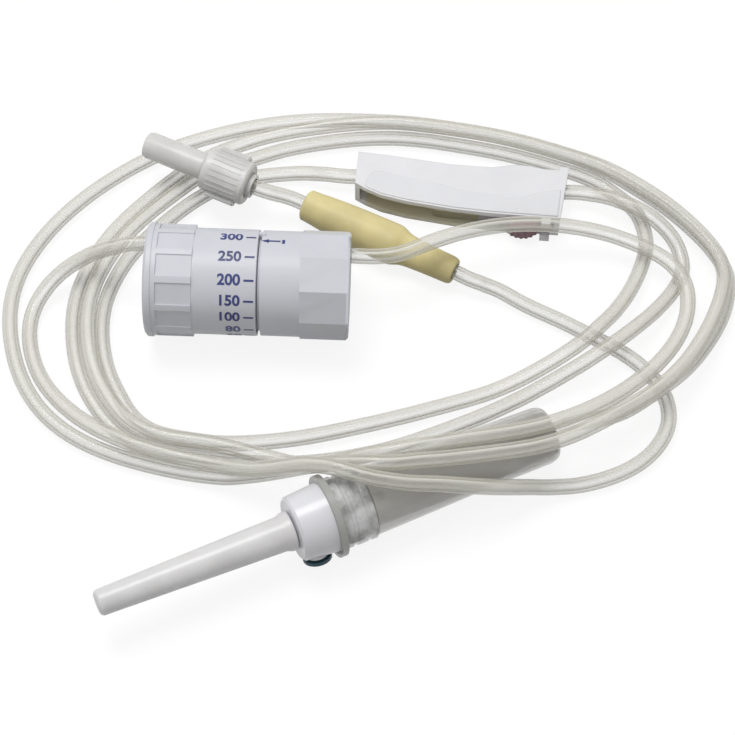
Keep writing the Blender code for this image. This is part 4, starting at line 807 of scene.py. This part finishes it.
def build_regulator():
    white = moulded("dial_satin", COOL_WHITE, roughness=0.48, variation=0.015, coat=0.05, scatter=0.1,
                    edge=0.0)
    inner = moulded("core_satin", COOL_WHITE, roughness=0.5)
    ink = moulded("navy_print", NAVY, roughness=0.45, variation=0.25, edge=0.0)
    build_dial_shell(white)
    build_base_shell(white)
    paint(inner, "regulator_core", "bulb_inlet_sleeve", "bulb_outlet_sleeve")
    paint(moulded("seal_rubber", SEAL_GREY, roughness=0.7), "regulator_seal", "regulator_gasket")
    build_scale(ink)
    build_index(ink, white)


def build_panel(white):
    """Raised panel on the clamp's upper face, bounded by a flowing line."""
    line = [(point.x, point.y) for point in smooth_route([(x, y, 0.0) for x, y in PANEL_LINE])]
    outline = [*line, *[(x * MM, y * MM) for x, y in PANEL_FRONT]]
    bm = bmesh.new()
    face = bm.faces.new([bm.verts.new((x, y, CLAMP_TOP - PANEL_SINK)) for x, y in outline])
    grown = bmesh.ops.extrude_face_region(bm, geom=[face])
    raised = [item for item in grown["geom"] if isinstance(item, bmesh.types.BMVert)]
    bmesh.ops.translate(bm, verts=raised, vec=(0.0, 0.0, PANEL_HEIGHT + PANEL_SINK))
    bmesh.ops.transform(bm, matrix=CLAMP, verts=bm.verts)
    panel = add_mesh(bm, "clamp_panel", white)
    bevel = panel.modifiers.new("soft_edge", "BEVEL")
    bevel.width = CORNER_ROUNDING
    bevel.segments = CORNER_SEGMENTS
    bevel.limit_method = "ANGLE"
    bevel.angle_limit = PANEL_ROUNDED_FROM
    dress(panel, "line", "clamp_white")


def build_clamp():
    build_panel(moulded("clamp_gloss", MILK_WHITE, roughness=0.25, variation=0.015, coat=0.3, scatter=0.15,
                        edge=CLAMP_EDGE))
    shaded = moulded("clamp_body_gloss_painted_shade", MILK_WHITE, roughness=0.25, variation=0.015, coat=0.3, scatter=0.1,
                     edge=CLAMP_EDGE)
    # Painted shade inside the clamp's channel and lower rail, tinted yellow as painted light bounced from
    # the bulb
    paint(tint_inside(shaded, CHANNEL_PAINTED_SHADE, CLAMP_PLACE, CLAMP_TURN, CHANNEL_SHADE_CENTRE, CHANNEL_SHADE_HALF), "clamp_body")
    paint(moulded("roller_maroon_skin", MAROON, roughness=0.4, bump=0.15), "clamp_wheel")
    paint(moulded("clamp_tube_film", TUBE_FILM, roughness=0.25, alpha=0.6), "clamp_tube")


def build_bulb():
    length = (BULB_END - BULB_START).length
    material = moulded("latex_skin", OCHRE, roughness=0.5, variation=0.12, grain=900.0, bump=0.25,
                       scatter=0.35)
    profile = (
        (0.0, BULB_INNER),
        *[(along * MM, radius * MM) for along, radius in BULB_OUTLINE],
        *[(length - back * MM, radius * MM) for back, radius in BULB_FOOT],
        (length, BULB_SOCKET),
        (length - BULB_SOCKET_DEPTH, BULB_SOCKET),
        (BULB_BARREL, BULB_SOCKET),
        (BULB_BARREL - BULB_BORE_TAPER, BULB_INNER),
    )
    bulb = turned("latex_bulb_skin", profile, BULB, material, steps=SMALL_STEPS, rounding=SOFT_ROUNDING)
    for vert in bulb.data.vertices:
        local = BULB.inverted() @ vert.co
        if local.yz.length <= BULB_INNER * BULB_SKIN_FROM:
            continue
        away = Vector((0.0, local.y, local.z)).normalized()
        vert.co = BULB @ (local + away * noise.noise(vert.co * BULB_UNEVEN_SCALE) * BULB_UNEVEN)
    smooth = bulb.modifiers.new("smooth_skin", "SUBSURF")
    smooth.levels = 1
    smooth.render_levels = 1
    dress(bulb, "line", "latex", "latex_bulb")


def build_hub(hub):
    front = -FLANGE_THICKNESS - HUB_LENGTH
    piece = turned("hub_shell", (
        (front - SPIKE_LENGTH, WAY_RADIUS),
        (front - SPIKE_LENGTH, SPIKE_TIP_RADIUS),
        (front - SPIKE_LENGTH + SPIKE_POINT, SPIKE_RADIUS - SMALL_STEP),
        (front, SPIKE_RADIUS),
        (front, HUB_NOSE_RADIUS - CHAMFER),
        (front + CHAMFER, HUB_NOSE_RADIUS),
        (-FLANGE_THICKNESS, HUB_RADIUS),
        (-FLANGE_THICKNESS, FLANGE_RADIUS),
        (0.0, FLANGE_RADIUS),
        (0.0, SPIGOT_RADIUS),
        (SPIGOT_LENGTH, SPIGOT_RADIUS),
        (SPIGOT_LENGTH, WAY_RADIUS),
    ), CHAMBER, hub, rounding=SOFT_ROUNDING)
    upright = Matrix.Rotation(-math.pi / 2, 4, "Y")
    place = CHAMBER @ Matrix.Translation((VENT_PLACE, 0.0, 0.0))
    vent = place @ Matrix.Rotation(VENT_ANGLE, 4, "X") @ upright
    shaped(piece, turned("boss_form", (
        (VENT_SEAT - VENT_BOSS_DEPTH, 0.0),
        (VENT_SEAT - VENT_BOSS_DEPTH, VENT_BOSS_RADIUS),
        (VENT_SEAT, VENT_BOSS_RADIUS),
        (VENT_SEAT, 0.0),
    ), vent, hub, steps=HOLE_STEPS, rounding=0.0), "UNION")
    shaped(piece, turned("vent_form", (
        (VENT_SEAT - VENT_BORE_DEPTH, 0.0),
        (VENT_SEAT - VENT_BORE_DEPTH, VENT_BORE_RADIUS),
        (VENT_SEAT + CUT_OVERRUN, VENT_BORE_RADIUS),
        (VENT_SEAT + CUT_OVERRUN, 0.0),
    ), vent, hub, steps=HOLE_STEPS, rounding=0.0), "DIFFERENCE")
    dress(piece, "line", "hub_white", "spike_hub")


def build_spike_cap(frost):
    tip = SPIKE_CAP_BASE - SPIKE_CAP_LENGTH
    piece = turned("spike_cap_shell", (
        (tip, 0.0),
        (tip, SPIKE_CAP_TIP_RADIUS - CHAMFER),
        (tip + CHAMFER, SPIKE_CAP_TIP_RADIUS),
        (SPIKE_CAP_BASE - 2 * SPIKE_CAP_LIP_WIDTH, SPIKE_CAP_BASE_RADIUS),
        (SPIKE_CAP_BASE - SPIKE_CAP_LIP_WIDTH, SPIKE_CAP_LIP_RADIUS),
        (SPIKE_CAP_BASE, SPIKE_CAP_LIP_RADIUS),
        (SPIKE_CAP_BASE, SPIKE_CAP_BORE),
        (tip + SPIKE_CAP_END_WALL, SPIKE_CAP_TIP_RADIUS - CHAMFER),
        (tip + SPIKE_CAP_END_WALL, 0.0),
    ), CHAMBER, frost, steps=NARROW_STEPS, rounding=SOFT_ROUNDING)
    dress(piece, "spike_cover", "frosted_plastic", "spike_cap")


def build_chamber():
    hub = moulded("hub_satin", HUB_WHITE, roughness=0.32, variation=0.02, coat=0.2, scatter=0.1, edge=0.0)
    tint_inside(hub, FLANGE_GREY, CHAMBER_PLACE, CHAMBER_TURN, FLANGE_TINT_CENTRE, FLANGE_TINT_HALF)
    frost = moulded("frosted_skin", FROST_GREY, roughness=0.36, alpha=0.84, coat=0.2, scatter=0.25, edge=0.0)
    clear = moulded("clear_cap_skin", CLEAR_GREY, roughness=0.08, variation=0.45, grain=2600.0, alpha=0.55,
                    bump=0.6, coat=0.5, edge=0.0)
    soft = moulded("soft_wall", CHAMBER_GREY, roughness=0.12, alpha=0.55, coat=1.0, bump=0.1, edge=0.0)
    inner = moulded("former_clear", CLEAR_GREY, roughness=0.15, alpha=0.75)
    build_hub(hub)
    build_spike_cap(frost)
    paint(moulded("vent_teal_skin", TEAL, roughness=0.35, bump=0.1), "vent_cap")
    paint(moulded("membrane", FILTER_WHITE, roughness=0.9, variation=0.15, bump=0.5),
          "vent_filter", "fluid_filter")
    paint(inner, "drop_former", "chamber_outlet")
    cap = turned("clear_cap_shell", (
        (CAP_FRONT, CAP_HOLE),
        (CAP_FRONT, CAP_RADIUS),
        *[(CAP_FRONT + along * MM, CAP_RADIUS - depth * MM) for along, depth in CAP_GROOVES],
        (CAP_FRONT + CAP_LENGTH, CAP_RADIUS),
        (CAP_FRONT + CAP_LENGTH, CAP_RADIUS - CAP_WALL),
        (CAP_FRONT + CAP_PLATE, CAP_RADIUS - CAP_WALL),
        (CAP_FRONT + CAP_PLATE, CAP_HOLE),
    ), CHAMBER, clear, rounding=CAP_ROUNDING)
    dress(cap, "line", "clear_rigid", "chamber_cap")
    bm = bmesh.new()
    plate = CAP_FRONT + CAP_PLATE
    bore = CAP_RADIUS - CAP_WALL
    rib_low = (plate + CAP_RIB_START, -CAP_RIB_HALF_WIDTH, bore - CAP_RIB_DEPTH)
    rib_high = (plate + CAP_RIB_END, CAP_RIB_HALF_WIDTH, bore + CAP_RIB_HEIGHT)
    ring_of_blocks(bm, CHAMBER, CAP_RIB_COUNT, rib_low, rib_high, bevel=CAP_RIB_ROUNDING)
    dress(add_mesh(bm, "clear_cap_ribs", clear), "line", "clear_rigid")
    shell = turned("chamber_shell", (
        (CHAMBER_SEAT_START, CHAMBER_SEAT_RADIUS - CHAMBER_WALL),
        (CHAMBER_SEAT_START, CHAMBER_SEAT_RADIUS),
        (CHAMBER_SHOULDER, CHAMBER_SEAT_RADIUS),
        (CHAMBER_SHOULDER, CHAMBER_TOP_RADIUS),
        (CHAMBER_WAIST * CHAMBER_BELLY, CHAMBER_TOP_RADIUS - CHAMBER_BELLY_DROP),
        (CHAMBER_WAIST, CHAMBER_WAIST_RADIUS),
        *[(CHAMBER_END - back * MM, CHAMBER_WAIST_RADIUS - drop * MM) for back, drop in CHAMBER_FOOT],
        (CHAMBER_END, CHAMBER_END_RADIUS - SMALL_STEP),
        (CHAMBER_END, CHAMBER_BORE),
        (OUTLET_START, CHAMBER_BORE),
        (CHAMBER_WAIST, CHAMBER_WAIST_RADIUS - CHAMBER_WALL),
        (CHAMBER_SHOULDER + CHAMBER_WALL, CHAMBER_SEAT_RADIUS - CHAMBER_WALL),
    ), CHAMBER, soft, rounding=CHAMBER_ROUNDING)
    dress(shell, "line", "clear_soft", "drip_chamber")


def build_connector():
    frost = moulded("connector_frost", CONNECTOR_GREY, roughness=0.4, alpha=0.84, coat=0.15, scatter=0.25,
                    edge=0.0)
    paint(frost, "connector_body")
    collar = turned("collar_shell", (
        (0.0, COLLAR_INNER),
        (0.0, COLLAR_RADIUS - CHAMFER),
        (CHAMFER, COLLAR_RADIUS),
        (COLLAR_LENGTH - CHAMFER, COLLAR_RADIUS),
        (COLLAR_LENGTH, COLLAR_RADIUS - CHAMFER / 2),
        (COLLAR_LENGTH, COLLAR_WIDE),
        (COLLAR_SHOULDER, COLLAR_WIDE),
        (COLLAR_SHOULDER, COLLAR_INNER),
    ), CONNECTOR, frost, steps=NARROW_STEPS)
    dress(collar, "collar", "frosted_plastic", "lock_collar")
    bm = bmesh.new()
    middle = COLLAR_LENGTH / 2
    ring_of_blocks(bm, CONNECTOR, 2,
                   (middle - COLLAR_WING_LENGTH / 2, -COLLAR_WING_WIDTH / 2, COLLAR_WING_ROOT),
                   (middle + COLLAR_WING_LENGTH / 2, COLLAR_WING_WIDTH / 2, COLLAR_WING_REACH),
                   COLLAR_WING_TURN, COLLAR_WING_ROUNDING)
    rib = (COLLAR_RIB_HALF_LENGTH, COLLAR_RIB_HALF_WIDTH, COLLAR_RIB_HEIGHT)
    ring_of_blocks(bm, CONNECTOR, COLLAR_RIB_COUNT, (middle - rib[0], -rib[1], COLLAR_RADIUS - rib[2]),
                   (middle + rib[0], rib[1], COLLAR_RADIUS + rib[2]), bevel=COLLAR_RIB_ROUNDING)
    dress(add_mesh(bm, "collar_grips", frost), "collar", "frosted_plastic")
    total = (CONNECTOR_END - CONNECTOR_START).length
    cap = turned("end_cap_shell", (
        (END_CAP_START, END_CAP_BORE),
        (END_CAP_START, END_CAP_RADIUS),
        (total - END_CAP_WALL, END_CAP_RADIUS),
        (total, END_CAP_TIP_RADIUS),
        (total, 0.0),
        (total - END_CAP_WALL, 0.0),
        (total - END_CAP_WALL, END_CAP_BORE),
    ), CONNECTOR, frost, steps=SMALL_STEPS, rounding=SOFT_ROUNDING)
    dress(cap, "end_cover", "frosted_plastic", "connector_cap")


def build_tubes():
    film = moulded("tube_film", TUBE_FILM, roughness=0.16, variation=0.06, grain=500.0, bump=0.0, alpha=0.5,
                   coat=1.0, edge=0.0)
    clear_edges(film, *FILM_COVER)
    # The bore's near-white colour is painted light, the bright band down the middle of the clear tube
    lumen = moulded("tube_bore_painted_light", BORE_PAINTED_LIGHT, roughness=0.5, variation=0.03, bump=0.0, alpha=0.3, edge=0.0)
    clear_edges(lumen, *BORE_COVER)
    for name, route, length in (
        ("tube_chamber_to_clamp", CHAMBER_TO_CLAMP_ROUTE, CHAMBER_TO_CLAMP_LENGTH),
        ("tube_clamp_to_regulator", CLAMP_TO_REGULATOR_ROUTE, CLAMP_TO_REGULATOR_LENGTH),
        ("tube_regulator_to_bulb", REGULATOR_TO_BULB_ROUTE, REGULATOR_TO_BULB_LENGTH),
    ):
        piece, path = build_tube(name, route, film, lumen)
    build_tube("tube_bulb_to_connector", BULB_TO_CONNECTOR_ROUTE, film, lumen)


def build_floor():
    bm = bmesh.new()
    bmesh.ops.create_grid(bm, x_segments=1, y_segments=1, size=FLOOR_SIZE)
    material = bpy.data.materials.new("floor_white")
    material.use_nodes = True
    tree = material.node_tree
    shader = tree.nodes["Principled BSDF"]
    shader.inputs["Roughness"].default_value = FLOOR_ROUGHNESS
    shader.inputs["Specular IOR Level"].default_value = FLOOR_GLOSS
    glow = tree.nodes.new("ShaderNodeEmission")
    glow.inputs["Color"].default_value = (*GLOW_WHITE, 1.0)
    glow.inputs["Strength"].default_value = FLOOR_GLOW
    ray = tree.nodes.new("ShaderNodeLightPath")
    seen = tree.nodes.new("ShaderNodeMath")
    seen.operation = "ADD"
    tree.links.new(ray.outputs["Is Camera Ray"], seen.inputs[0])
    tree.links.new(ray.outputs["Is Glossy Ray"], seen.inputs[1])
    both = tree.nodes.new("ShaderNodeMath")
    both.operation = "ADD"
    both.use_clamp = True
    tree.links.new(seen.outputs["Value"], both.inputs[0])
    tree.links.new(ray.outputs["Is Transmission Ray"], both.inputs[1])
    share = tree.nodes.new("ShaderNodeMath")
    share.operation = "MULTIPLY"
    share.inputs[1].default_value = FLOOR_GLOW_SHARE
    tree.links.new(both.outputs["Value"], share.inputs[0])
    mix = tree.nodes.new("ShaderNodeMixShader")
    tree.links.new(share.outputs["Value"], mix.inputs["Fac"])
    tree.links.new(shader.outputs["BSDF"], mix.inputs[1])
    tree.links.new(glow.outputs["Emission"], mix.inputs[2])
    tree.links.new(mix.outputs["Shader"], tree.nodes["Material Output"].inputs["Surface"])
    tone = tree.nodes.new("ShaderNodeMix")
    tone.data_type = "RGBA"
    tone.inputs["A"].default_value = (*FLOOR_BOUNCE, 1.0)
    tone.inputs["B"].default_value = (*FLOOR_WHITE, 1.0)
    tree.links.new(both.outputs["Value"], tone.inputs["Factor"])
    tree.links.new(tone.outputs["Result"], shader.inputs["Base Color"])
    floor = add_mesh(bm, "floor", material)


def area_light(name, place, target, size, power):
    data = bpy.data.lights.new(name, "AREA")
    data.shape = "SQUARE"
    data.size = size
    data.energy = power
    lamp = bpy.data.objects.new(name, data)
    lamp.location = place
    lamp.rotation_euler = (target - place).to_track_quat("-Z", "Y").to_euler()
    bpy.context.scene.collection.objects.link(lamp)


def build_lighting():
    world = bpy.data.worlds.new("soft_room")
    world.use_nodes = True
    background = world.node_tree.nodes["Background"]
    background.inputs["Color"].default_value = (*GLOW_WHITE, 1.0)
    background.inputs["Strength"].default_value = ROOM_LIGHT
    bpy.context.scene.world = world
    area_light("key_light", KEY_PLACE, Vector(), KEY_SIZE, KEY_POWER)


def main():
    scene = bpy.context.scene
    scene.view_settings.view_transform = "Standard"
    make_camera()
    build_tubes()
    build_regulator()
    build_clamp()
    build_bulb()
    build_chamber()
    build_connector()
    build_floor()
    build_lighting()


main()
